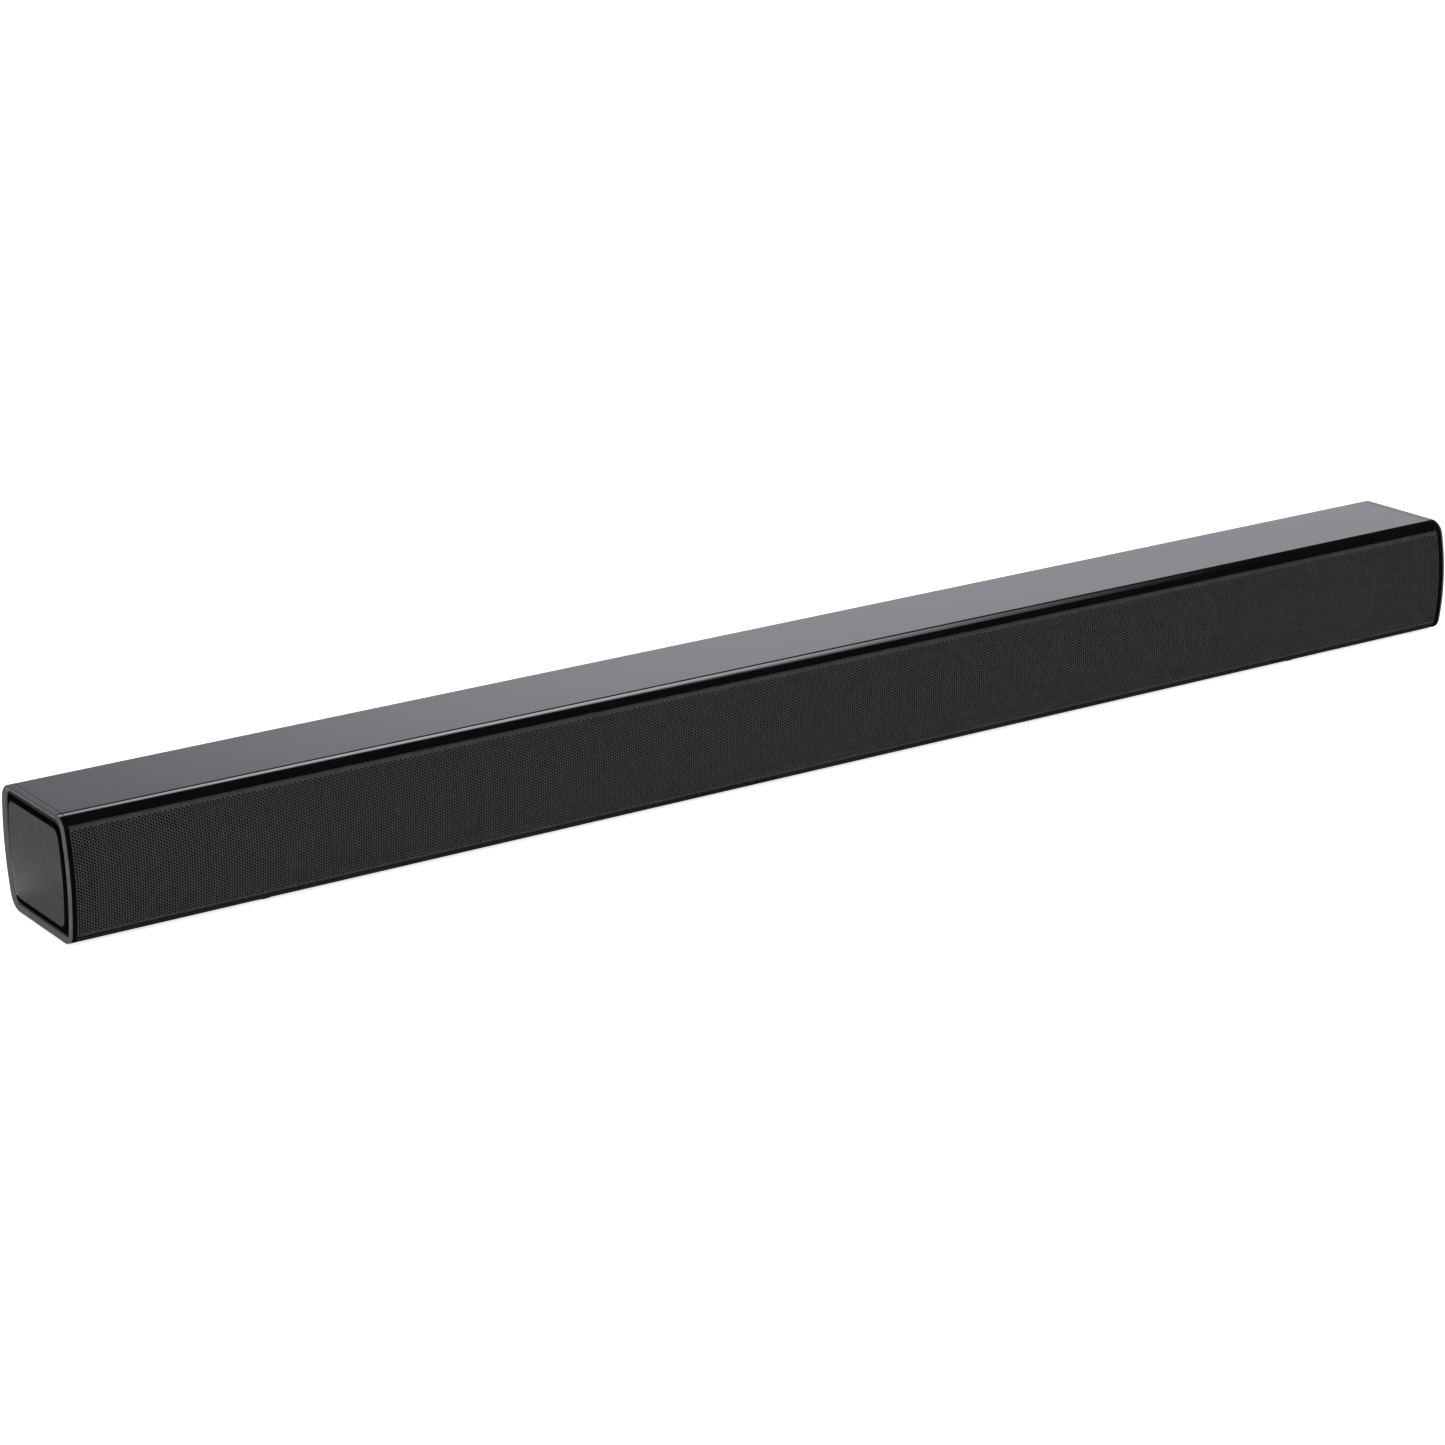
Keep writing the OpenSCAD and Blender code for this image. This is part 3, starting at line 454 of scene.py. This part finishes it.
class SheetPlan:
    """Flat plan, in (x, s), of one length of the sheet: corners, faces and the edges that get walls."""

    def __init__(self, first, count, own, rows, columns, spacing, half, total):
        self.count, self.own, self.rows, self.total, self.half = count, own, rows, total, half
        self.index = np.arange(first, first + count)
        self.cx = (self.index - (columns - 1) / 2) * spacing
        shift = 0.5 + 0.5 * (self.index[:, None] % 2)
        self.cs = LOW_STRIP + HOLE_PITCH * (np.arange(rows)[None, :] + shift)
        self.faces, self.walls, self.border = [], [], []
        self.holes = count * rows * 6
        self.starts = first == 0
        self.stops = first + own == columns
        self.webs()
        self.edges()

    def hole(self, c, r, k):
        return (c * self.rows + r) * 6 + k

    def corners(self, radius):
        turn = np.radians(60 * np.arange(6))
        x = self.cx[:, None, None] + radius * np.cos(turn) + 0 * self.cs[:, :, None]
        s = self.cs[:, :, None] + radius * np.sin(turn)
        return np.stack([x, s], -1).reshape(-1, 2)

    def webs(self):
        """Bands between neighbouring holes and the triangles where three bands meet."""
        c, r = (g.ravel() for g in np.meshgrid(np.arange(self.count), np.arange(self.rows), indexing="ij"))
        up = r + self.index[c] % 2                 # row of the neighbour to the right and up

        def add(keep, *corners):
            self.faces.append(np.stack([self.hole(cc[keep], rr[keep], k) for cc, rr, k in corners], -1))

        beside = c < self.count - 1
        mine = c < self.own
        add(mine & (r < self.rows - 1), (c, r, 2), (c, r, 1), (c, r + 1, 5), (c, r + 1, 4))
        add(beside & (up < self.rows), (c, r, 1), (c, r, 0), (c + 1, up, 4), (c + 1, up, 3))
        add(beside & (up >= 1), (c, r, 0), (c, r, 5), (c + 1, up - 1, 3), (c + 1, up - 1, 2))
        add(beside & (up >= 1) & (up < self.rows), (c, r, 0), (c + 1, up - 1, 2), (c + 1, up, 4))
        add(beside & (r < self.rows - 1) & (up < self.rows), (c, r, 1), (c + 1, up, 3), (c, r + 1, 5))
        for k in range(6):
            ends = [self.hole(c[mine], r[mine], (k + 1) % 6), self.hole(c[mine], r[mine], k)]
            self.walls.append(np.stack(ends, -1))

    def edges(self):
        """Plain strips round the holes, out to the sheet's edges."""
        top = self.rows - 1
        low, high = [], []
        for c in range(self.count):
            odd = self.index[c] % 2
            shared = c == self.own
            low += [(c, 0, k) for k in ((4, 5) if odd else (3, 4) if shared else (3, 4, 5, 0))]
            high += [(c, top, k) for k in ((3, 2, 1, 0) if odd else (2,) if shared else (2, 1))]
        low = low[1:]
        if self.stops:
            high = high[:-1]
        base_low = self.strip(low, lambda x, s: (x, 0.0), True)
        base_high = self.strip(high, lambda x, s: (x, self.total), False)
        if self.starts:
            left = [(0, r, k) for r in range(self.rows) for k in (4, 3, 2)]
            base = self.strip(left, lambda x, s: (-self.half, s), False)
            self.corner((-self.half, 0.0), base_low[0], self.hole(*left[0]), base[0])
            self.corner((-self.half, self.total), base[-1], self.hole(*left[-1]), base_high[0])
        if self.stops:
            right = [(self.count - 1, r, k) for r in range(self.rows) for k in (5, 0, 1)]
            base = self.strip(right, lambda x, s: (self.half, s), True)
            self.corner((self.half, 0.0), base[0], self.hole(*right[0]), base_low[-1])
            self.corner((self.half, self.total), base_high[-1], self.hole(*right[-1]), base[-1])

    def new_corner(self, x, s):
        self.border.append((x, s))
        return self.holes + len(self.border) - 1

    def strip(self, chain, outwards, outside_first):
        """Quads from a chain of hole corners out to an edge; outside_first keeps them anticlockwise."""
        plan = self.corners(HOLE_R)
        inner = [self.hole(*place) for place in chain]
        outer = [self.new_corner(*outwards(*plan[k])) for k in inner]
        for (a, b), (p, q) in zip(zip(inner, inner[1:]), zip(outer, outer[1:])):
            self.faces.append(np.array([[p, q, b, a] if outside_first else [a, b, q, p]]))
            self.walls.append(np.array([[p, q] if outside_first else [q, p]]))
        return outer

    def corner(self, place, before, inside, after):
        point = self.new_corner(*place)
        self.faces.append(np.array([[point, before, inside, after]]))
        self.walls.append(np.array([[point, before], [after, point]]))


def grille_sections():
    """Lengths of perforated sheet with tapered six-sided holes.

    The holes and the outside edges have walls. The cut where one length meets the next has none.
    """
    line, length, total = grille_line()
    half = SHELL_X - 0.1
    rows = int((total - LOW_STRIP - HIGH_STRIP) / HOLE_PITCH - 0.5)
    span = 2 * (half - SIDE_STRIP - HOLE_R)
    own = 2 * round(span / COLUMN / (2 * GRILLE_SECTIONS))
    columns = own * GRILLE_SECTIONS
    spacing = span / (columns - 1)
    pieces = []
    for part in range(GRILLE_SECTIONS):
        last = part == GRILLE_SECTIONS - 1
        plan = SheetPlan(part * own, own + (0 if last else 1), own, rows, columns, spacing, half, total)
        layers = []
        for radius, depth in ((HOLE_R, 0.0), (HOLE_BACK_R, SHEET_T)):
            flat = np.concatenate([plan.corners(radius), np.array(plan.border)])
            layers.append(bent(line, length, flat[:, 0], flat[:, 1], depth))
        behind = len(layers[0])
        faces = plan.faces + [face[:, ::-1] + behind for face in plan.faces]
        for edge in plan.walls:
            a, b = edge[:, 0], edge[:, 1]
            faces.append(np.stack([b, a, a + behind, b + behind], -1))
        pieces.append(grid_mesh("grille_sheet_%d" % (part + 1), np.concatenate(layers), faces))
    return pieces


def grid_mesh(name, points, face_groups):
    """A large mesh from arrays of triangles and quads, in millimetres above the body's underside."""
    mesh = bpy.data.meshes.new(name)
    placed = points * MM
    placed[:, 2] += BODY_LOW * MM
    mesh.vertices.add(len(placed))
    mesh.vertices.foreach_set("co", placed.astype(np.float32).ravel())
    sizes = np.concatenate([np.full(len(g), g.shape[1]) for g in face_groups])
    loops = np.concatenate([g.ravel() for g in face_groups]).astype(np.int32)
    mesh.loops.add(len(loops))
    mesh.loops.foreach_set("vertex_index", loops)
    mesh.polygons.add(len(sizes))
    mesh.polygons.foreach_set("loop_start", np.concatenate([[0], np.cumsum(sizes)[:-1]]).astype(np.int32))
    mesh.update(calc_edges=True)
    piece = bpy.data.objects.new(name, mesh)
    bpy.context.collection.objects.link(piece)
    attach(piece, "housing")
    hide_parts("front_grille")
    return piece


# ---- materials ----

def shader(name):
    """A new material, its node tree's helpers and its Principled shader."""
    material = bpy.data.materials.new(name)
    material.use_nodes = True
    nodes, links = material.node_tree.nodes, material.node_tree.links
    return material, nodes, links, nodes["Principled BSDF"]


def coordinates(nodes, links, stretch=(1, 1, 1)):
    """Object coordinates in metres, stretched along each axis."""
    place = nodes.new("ShaderNodeTexCoord")
    mapping = nodes.new("ShaderNodeMapping")
    mapping.inputs["Scale"].default_value = stretch
    links.new(place.outputs["Object"], mapping.inputs["Vector"])
    return mapping.outputs["Vector"]


def noise(nodes, links, vector, scale, detail=3.0, rough=0.5):
    texture = nodes.new("ShaderNodeTexNoise")
    texture.inputs["Scale"].default_value = scale
    texture.inputs["Detail"].default_value = detail
    texture.inputs["Roughness"].default_value = rough
    links.new(vector, texture.inputs["Vector"])
    return texture.outputs["Fac"]


def ranged(nodes, links, value, low, high):
    """The texture's middle range mapped to low..high."""
    scale = nodes.new("ShaderNodeMapRange")
    scale.inputs["From Min"].default_value = 0.3
    scale.inputs["From Max"].default_value = 0.7
    scale.inputs["To Min"].default_value = low
    scale.inputs["To Max"].default_value = high
    links.new(value, scale.inputs["Value"])
    return scale.outputs["Result"]


def two_tone(nodes, links, value, dark, light):
    ramp = nodes.new("ShaderNodeValToRGB")
    ramp.color_ramp.elements[0].position = 0.3
    ramp.color_ramp.elements[0].color = (*dark, 1)
    ramp.color_ramp.elements[1].position = 0.7
    ramp.color_ramp.elements[1].color = (*light, 1)
    links.new(value, ramp.inputs["Fac"])
    return ramp.outputs["Color"]


def bumped(nodes, links, value, strength, distance):
    bump = nodes.new("ShaderNodeBump")
    bump.inputs["Strength"].default_value = strength
    bump.inputs["Distance"].default_value = distance
    links.new(value, bump.inputs["Height"])
    return bump.outputs["Normal"]


def mixed(colour, by):
    return tuple(min(1.0, c * by) for c in colour)


def grained(name, colour, roughness, scale, metallic=0.0, vary=0.12, rough_vary=0.05,
            bump=0.1, depth=0.0001, stretch=(1, 1, 1), coat=0.0, specular=0.5):
    """The common finish: fine noise in colour, roughness and height."""
    material, nodes, links, principled = shader(name)
    vector = coordinates(nodes, links, stretch)
    fine = noise(nodes, links, vector, scale)
    wide = noise(nodes, links, vector, scale / 12)
    shade = two_tone(nodes, links, wide, mixed(colour, 1 - vary), mixed(colour, 1 + vary))
    links.new(shade, principled.inputs["Base Color"])
    links.new(ranged(nodes, links, fine, max(roughness - rough_vary, 0.02), roughness + rough_vary),
              principled.inputs["Roughness"])
    principled.inputs["Metallic"].default_value = metallic
    principled.inputs["Coat Weight"].default_value = coat
    principled.inputs["Coat Roughness"].default_value = 0.08
    principled.inputs["Specular IOR Level"].default_value = specular
    links.new(bumped(nodes, links, fine, bump, depth), principled.inputs["Normal"])
    return material


def piano_gloss():
    """Polished black plastic with the faint waviness of a moulding."""
    material, nodes, links, principled = shader("gloss_shell")
    vector = coordinates(nodes, links)
    wide = noise(nodes, links, vector, 25, detail=1.0)
    dust = noise(nodes, links, vector, 900, detail=2.0)
    shade = two_tone(nodes, links, wide, (0.0018, 0.0018, 0.002), (0.0026, 0.0026, 0.003))
    links.new(shade, principled.inputs["Base Color"])
    links.new(ranged(nodes, links, dust, 0.045, 0.075), principled.inputs["Roughness"])
    links.new(bumped(nodes, links, wide, 0.04, 0.0002), principled.inputs["Normal"])
    return material


def brushed(name, colour, roughness, stretch=(1, 60, 60)):
    """Metal with fine lines along X."""
    material, nodes, links, principled = shader(name)
    vector = coordinates(nodes, links, stretch)
    lines = noise(nodes, links, vector, 60, detail=4.0)
    shade = two_tone(nodes, links, lines, mixed(colour, 0.85), mixed(colour, 1.1))
    links.new(shade, principled.inputs["Base Color"])
    links.new(ranged(nodes, links, lines, roughness - 0.06, roughness + 0.08),
              principled.inputs["Roughness"])
    principled.inputs["Metallic"].default_value = 1.0
    links.new(bumped(nodes, links, lines, 0.15, 0.00005), principled.inputs["Normal"])
    return material


def circuit_board():
    """Green solder mask with faint traces under it."""
    material, nodes, links, principled = shader("circuit_board")
    vector = coordinates(nodes, links)
    traces = nodes.new("ShaderNodeTexBrick")
    traces.inputs["Scale"].default_value = 110
    traces.inputs["Mortar Size"].default_value = 0.035
    traces.inputs["Color1"].default_value = (0.006, 0.075, 0.03, 1)
    traces.inputs["Color2"].default_value = (0.008, 0.09, 0.036, 1)
    traces.inputs["Mortar"].default_value = (0.02, 0.17, 0.07, 1)
    links.new(vector, traces.inputs["Vector"])
    links.new(traces.outputs["Color"], principled.inputs["Base Color"])
    fine = noise(nodes, links, vector, 400)
    links.new(ranged(nodes, links, fine, 0.25, 0.4), principled.inputs["Roughness"])
    links.new(bumped(nodes, links, traces.outputs["Fac"], 0.2, 0.00003), principled.inputs["Normal"])
    return material


def banded(name, dark, light, scale, roughness, direction="X", bump=0.4, depth=0.0001):
    """Even bands, for wound tape, woven cloth or the wires of a ribbon."""
    material, nodes, links, principled = shader(name)
    vector = coordinates(nodes, links)
    bands = nodes.new("ShaderNodeTexWave")
    bands.bands_direction = direction
    bands.inputs["Scale"].default_value = scale
    bands.inputs["Distortion"].default_value = 0.4
    links.new(vector, bands.inputs["Vector"])
    links.new(two_tone(nodes, links, bands.outputs["Fac"], dark, light), principled.inputs["Base Color"])
    principled.inputs["Roughness"].default_value = roughness
    links.new(bumped(nodes, links, bands.outputs["Fac"], bump, depth), principled.inputs["Normal"])
    return material


def make_materials():
    """One finish for each material slot of the record, and for the rims and the marks."""
    return {
        "gloss_shell": piano_gloss(),
        "matt_shell": grained("matt_shell", (0.012, 0.012, 0.0125), 0.5, 1400, bump=0.35),
        "end_plate": grained("end_plate", (0.062, 0.062, 0.066), 0.4, 2200, bump=0.18, depth=0.00006,
                             specular=0.2),
        "grille_steel": grained("grille_steel", (0.037, 0.037, 0.038), 0.5, 2600, bump=0.2, depth=0.00005,
                                specular=0.3),
        "black_abs": grained("black_abs", (0.007, 0.007, 0.007), 0.55, 1200, bump=0.3, specular=0.3),
        "baffle_board": grained("baffle_board", (0.006, 0.006, 0.006), 0.8, 500, vary=0.3, bump=0.5,
                                specular=0.2),
        "basket_metal": grained("basket_metal", (0.014, 0.014, 0.015), 0.5, 900, metallic=0.2,
                                specular=0.3),
        "magnet": grained("magnet", (0.10, 0.10, 0.105), 0.5, 700, metallic=0.7, vary=0.25),
        "rubber": grained("rubber", (0.009, 0.009, 0.009), 0.72, 900, bump=0.4, specular=0.3),
        "paper_cone": grained("paper_cone", (0.011, 0.011, 0.012), 0.85, 600, vary=0.35, bump=0.7,
                              depth=0.0002, specular=0.2),
        "spider_cloth": banded("spider_cloth", (0.30, 0.2, 0.05), (0.5, 0.36, 0.12), 900, 0.85),
        "foam": grained("foam", (0.02, 0.02, 0.02), 0.95, 1500, vary=0.4, bump=0.9, depth=0.0002),
        "button_plastic": grained("button_plastic", (0.03, 0.03, 0.032), 0.38, 2000, bump=0.15,
                                  depth=0.00006),
        "circuit_board": circuit_board(),
        "chip": grained("chip", (0.012, 0.012, 0.013), 0.55, 1600, bump=0.3),
        "bare_aluminium": brushed("bare_aluminium", (0.75, 0.76, 0.78), 0.35),
        "capacitor_sleeve": grained("capacitor_sleeve", (0.012, 0.018, 0.075), 0.25, 300, bump=0.1),
        "plated_steel": brushed("plated_steel", (0.55, 0.56, 0.58), 0.32),
        "black_screw": grained("black_screw", (0.04, 0.04, 0.043), 0.35, 1500, metallic=1.0),
        "brass": brushed("brass", (0.7, 0.5, 0.2), 0.3, stretch=(60, 60, 1)),
        "coil_tape": banded("coil_tape", (0.42, 0.27, 0.03), (0.58, 0.4, 0.06), 400, 0.45, "Z"),
        "lamp": grained("lamp", (0.03, 0.03, 0.03), 0.25, 800, vary=0.05, bump=0.05),
        "ir_window": grained("ir_window", (0.02, 0.003, 0.004), 0.12, 500, bump=0.03),
        "lead_sleeve": grained("lead_sleeve", (0.22, 0.008, 0.008), 0.4, 900, bump=0.2),
        "ribbon": banded("ribbon", (0.35, 0.35, 0.33), (0.6, 0.6, 0.56), 800, 0.5),
        "button_mark": grained("button_mark", (0.5, 0.5, 0.5), 0.5, 1200, vary=0.06),
        # end rim: satin grey finish whose lighter grey base colour is partly the rim's own grey and partly
        # a painted highlight standing in for the grazing reflection along the rim
        "end_rim": grained("end_rim", (0.085, 0.085, 0.09), 0.3, 2200, bump=0.12, depth=0.00005),
    }


def put_material(piece, material):
    mesh = piece.data
    if len(mesh.materials) == 0:
        mesh.materials.append(material)
    for k in range(len(mesh.materials)):
        mesh.materials[k] = material


# ---- the studio, in metres ----

FLOOR_HALF = 60.0
FLOOR_GLOW = 0.75
CARD_X, CARD_Y = (-0.445, 1.2), (0.05, 0.35)
CARD_Z = 0.001
CARD_GLOW = 0.3
SOFTBOX = 5.0                                      # brightness of the softbox and of the room
ROOM = 0.03
SUNS = [                                           # name, energy, spread, turned and down in degrees
    ("overhead", 0.6, 60, 0, 90),
    ("front", 1.85, 40, -15, 35),
    ("side", 0.9, 60, -75, 25)]
VIEWPOINT = (-1.096637, -1.675147, 0.652763)
TURNED, DOWN, ROLL = 32.217, 17.519, 1.783         # how the camera is turned, in degrees
FOCAL = 99.65                                      # millimetres, for a sensor 36 mm wide
SENSOR = 36


def studio_floor():
    """A plain white sheet, wide enough to fill the view."""
    half = FLOOR_HALF
    mesh = bpy.data.meshes.new("floor")
    mesh.from_pydata([(-half, -half, 0), (half, -half, 0), (half, half, 0), (-half, half, 0)],
                     [], [(0, 1, 2, 3)])
    floor = bpy.data.objects.new("floor", mesh)
    bpy.context.collection.objects.link(floor)
    floor.visible_glossy = False
    material, nodes, links, principled = shader("floor")
    vector = coordinates(nodes, links)
    tone = two_tone(nodes, links, noise(nodes, links, vector, 3), (0.93, 0.93, 0.93), (0.95, 0.95, 0.95))
    links.new(tone, principled.inputs["Base Color"])
    principled.inputs["Roughness"].default_value = 0.9
    principled.inputs["Emission Color"].default_value = (1, 1, 1, 1)
    principled.inputs["Emission Strength"].default_value = FLOOR_GLOW
    mesh.materials.append(material)


def bounce_sheet():
    """White card lying behind the bar, which only the gloss shows."""
    (left, right), (near, far) = CARD_X, CARD_Y
    mesh = bpy.data.meshes.new("card")
    corners = [(left, near), (right, near), (right, far), (left, far)]
    mesh.from_pydata([(x, y, CARD_Z) for x, y in corners], [], [(0, 1, 2, 3)])
    card = bpy.data.objects.new("card", mesh)
    bpy.context.collection.objects.link(card)
    card.visible_camera = False
    card.visible_diffuse = False
    card.visible_shadow = False
    material, nodes, links, principled = shader("card")
    vector = coordinates(nodes, links)
    tone = two_tone(nodes, links, noise(nodes, links, vector, 3), (0.8,) * 3, (0.84,) * 3)
    links.new(tone, principled.inputs["Base Color"])
    principled.inputs["Roughness"].default_value = 0.9
    principled.inputs["Emission Color"].default_value = (1, 1, 1, 1)
    principled.inputs["Emission Strength"].default_value = CARD_GLOW
    mesh.materials.append(material)


def soft_sun(name, energy, spread, turned, down):
    """Soft light which the gloss doesn't show.

    One with turned at 0 comes from the front, and one with down at 90 from straight above.
    """
    lamp = bpy.data.lights.new(name, "SUN")
    lamp.energy = energy
    lamp.angle = math.radians(spread)
    light = bpy.data.objects.new(name, lamp)
    bpy.context.collection.objects.link(light)
    light.rotation_euler = Euler((math.radians(90 - down), 0, math.radians(turned)))
    light.visible_glossy = False


def studio_world():
    """Bright wall low behind the bar, a softbox above it, and dark everywhere else.

    Each factor in them is a ramp along one axis of the direction looked in.
    """
    world = bpy.data.worlds.new("studio")
    bpy.context.scene.world = world
    world.use_nodes = True
    nodes, links = world.node_tree.nodes, world.node_tree.links
    background = nodes["Background"]
    direction = nodes.new("ShaderNodeTexCoord")
    split = nodes.new("ShaderNodeSeparateXYZ")
    links.new(direction.outputs["Generated"], split.inputs["Vector"])
    x, y, z = (split.outputs[k] for k in "XYZ")

    def ramp(value, low, high, from_low, from_high):
        """Smooth change from low to high, while the value goes from from_low to from_high."""
        node = nodes.new("ShaderNodeMapRange")
        node.interpolation_type = "SMOOTHSTEP"
        node.inputs["From Min"].default_value = from_low
        node.inputs["From Max"].default_value = from_high
        node.inputs["To Min"].default_value = low
        node.inputs["To Max"].default_value = high
        links.new(value, node.inputs["Value"])
        return node.outputs["Result"]

    def combined(operation, values):
        """All the values added or multiplied together."""
        total = values[0]
        for value in values[1:]:
            node = nodes.new("ShaderNodeMath")
            node.operation = operation
            links.new(total, node.inputs[0])
            links.new(value, node.inputs[1])
            total = node.outputs["Value"]
        return total

    wall = combined("MULTIPLY", [
        ramp(z, 0.0, 1.0, -0.02, 0.02), ramp(z, 1.0, 0.0, 0.342, 0.454), ramp(z, 0.9, 1.1, 0.2, 0.34),
        ramp(y, 0.0, 1.0, 0.0, 0.35), ramp(x, 0.3, 1.05, 0.24, 0.53)])
    softbox = combined("MULTIPLY", [
        ramp(z, 0.0, SOFTBOX, 0.6, 0.66), ramp(z, 1.0, 0.0, 0.8, 0.87), ramp(y, 0.0, 1.0, 0.0, 0.05),
        ramp(x, 0.0, 1.0, 0.25, 0.42), ramp(x, 1.0, 0.0, 0.47, 0.62)])
    room = ramp(z, 0.0, ROOM, -0.1, 0.4)
    links.new(combined("ADD", [wall, softbox, room]), background.inputs["Strength"])
    background.inputs["Color"].default_value = (0.98, 0.985, 1.06, 1)


def camera():
    """The view, fitted to the outline of the bar in the photograph."""
    lens = bpy.data.cameras.new("camera")
    lens.sensor_width = SENSOR
    lens.lens = FOCAL
    lens.clip_start = 0.05
    lens.clip_end = 200
    view = bpy.data.objects.new("camera", lens)
    bpy.context.collection.objects.link(view)
    view.location = VIEWPOINT
    turned, down, roll = (math.radians(angle) for angle in (TURNED, DOWN, ROLL))
    view.rotation_mode = "QUATERNION"
    upright = Euler((math.pi / 2 - down, 0, -turned)).to_matrix()
    view.rotation_quaternion = (upright @ Matrix.Rotation(-roll, 3, "Z")).to_quaternion()
    bpy.context.scene.camera = view


# ---- everything ----

EDGED = ["rear_cover", "connector_tray", "inlet_tray", "hanger_trays", "wall_hangers", "rubber_feet",
         "mains_inlet", "optical_socket", "aux_socket"]


def main():
    materials = make_materials()
    slots = {row["node"]: row["material_slot"] for row in frame["record"]["subparts"]}
    for name, node in frame["nodes"].items():
        put_material(node, materials[slots[name]])
    put_material(frame["nodes"]["led_board"], materials["chip"])
    for name in EDGED:
        bevel(frame["nodes"][name], 0.3, merge=True)
    caps, marks = buttons()
    made = {"gloss_shell": [top_cover(), *end_caps()], "end_rim": end_rims(), "end_plate": end_panels(),
            "grille_steel": grille_sections(), "button_plastic": caps, "button_mark": marks}
    for finish, pieces in made.items():
        for piece in pieces:
            put_material(piece, materials[finish])
    camera()
    studio_floor()
    bounce_sheet()
    studio_world()
    for sun in SUNS:
        soft_sun(*sun)
    bpy.context.scene.view_settings.view_transform = "Standard"


main()
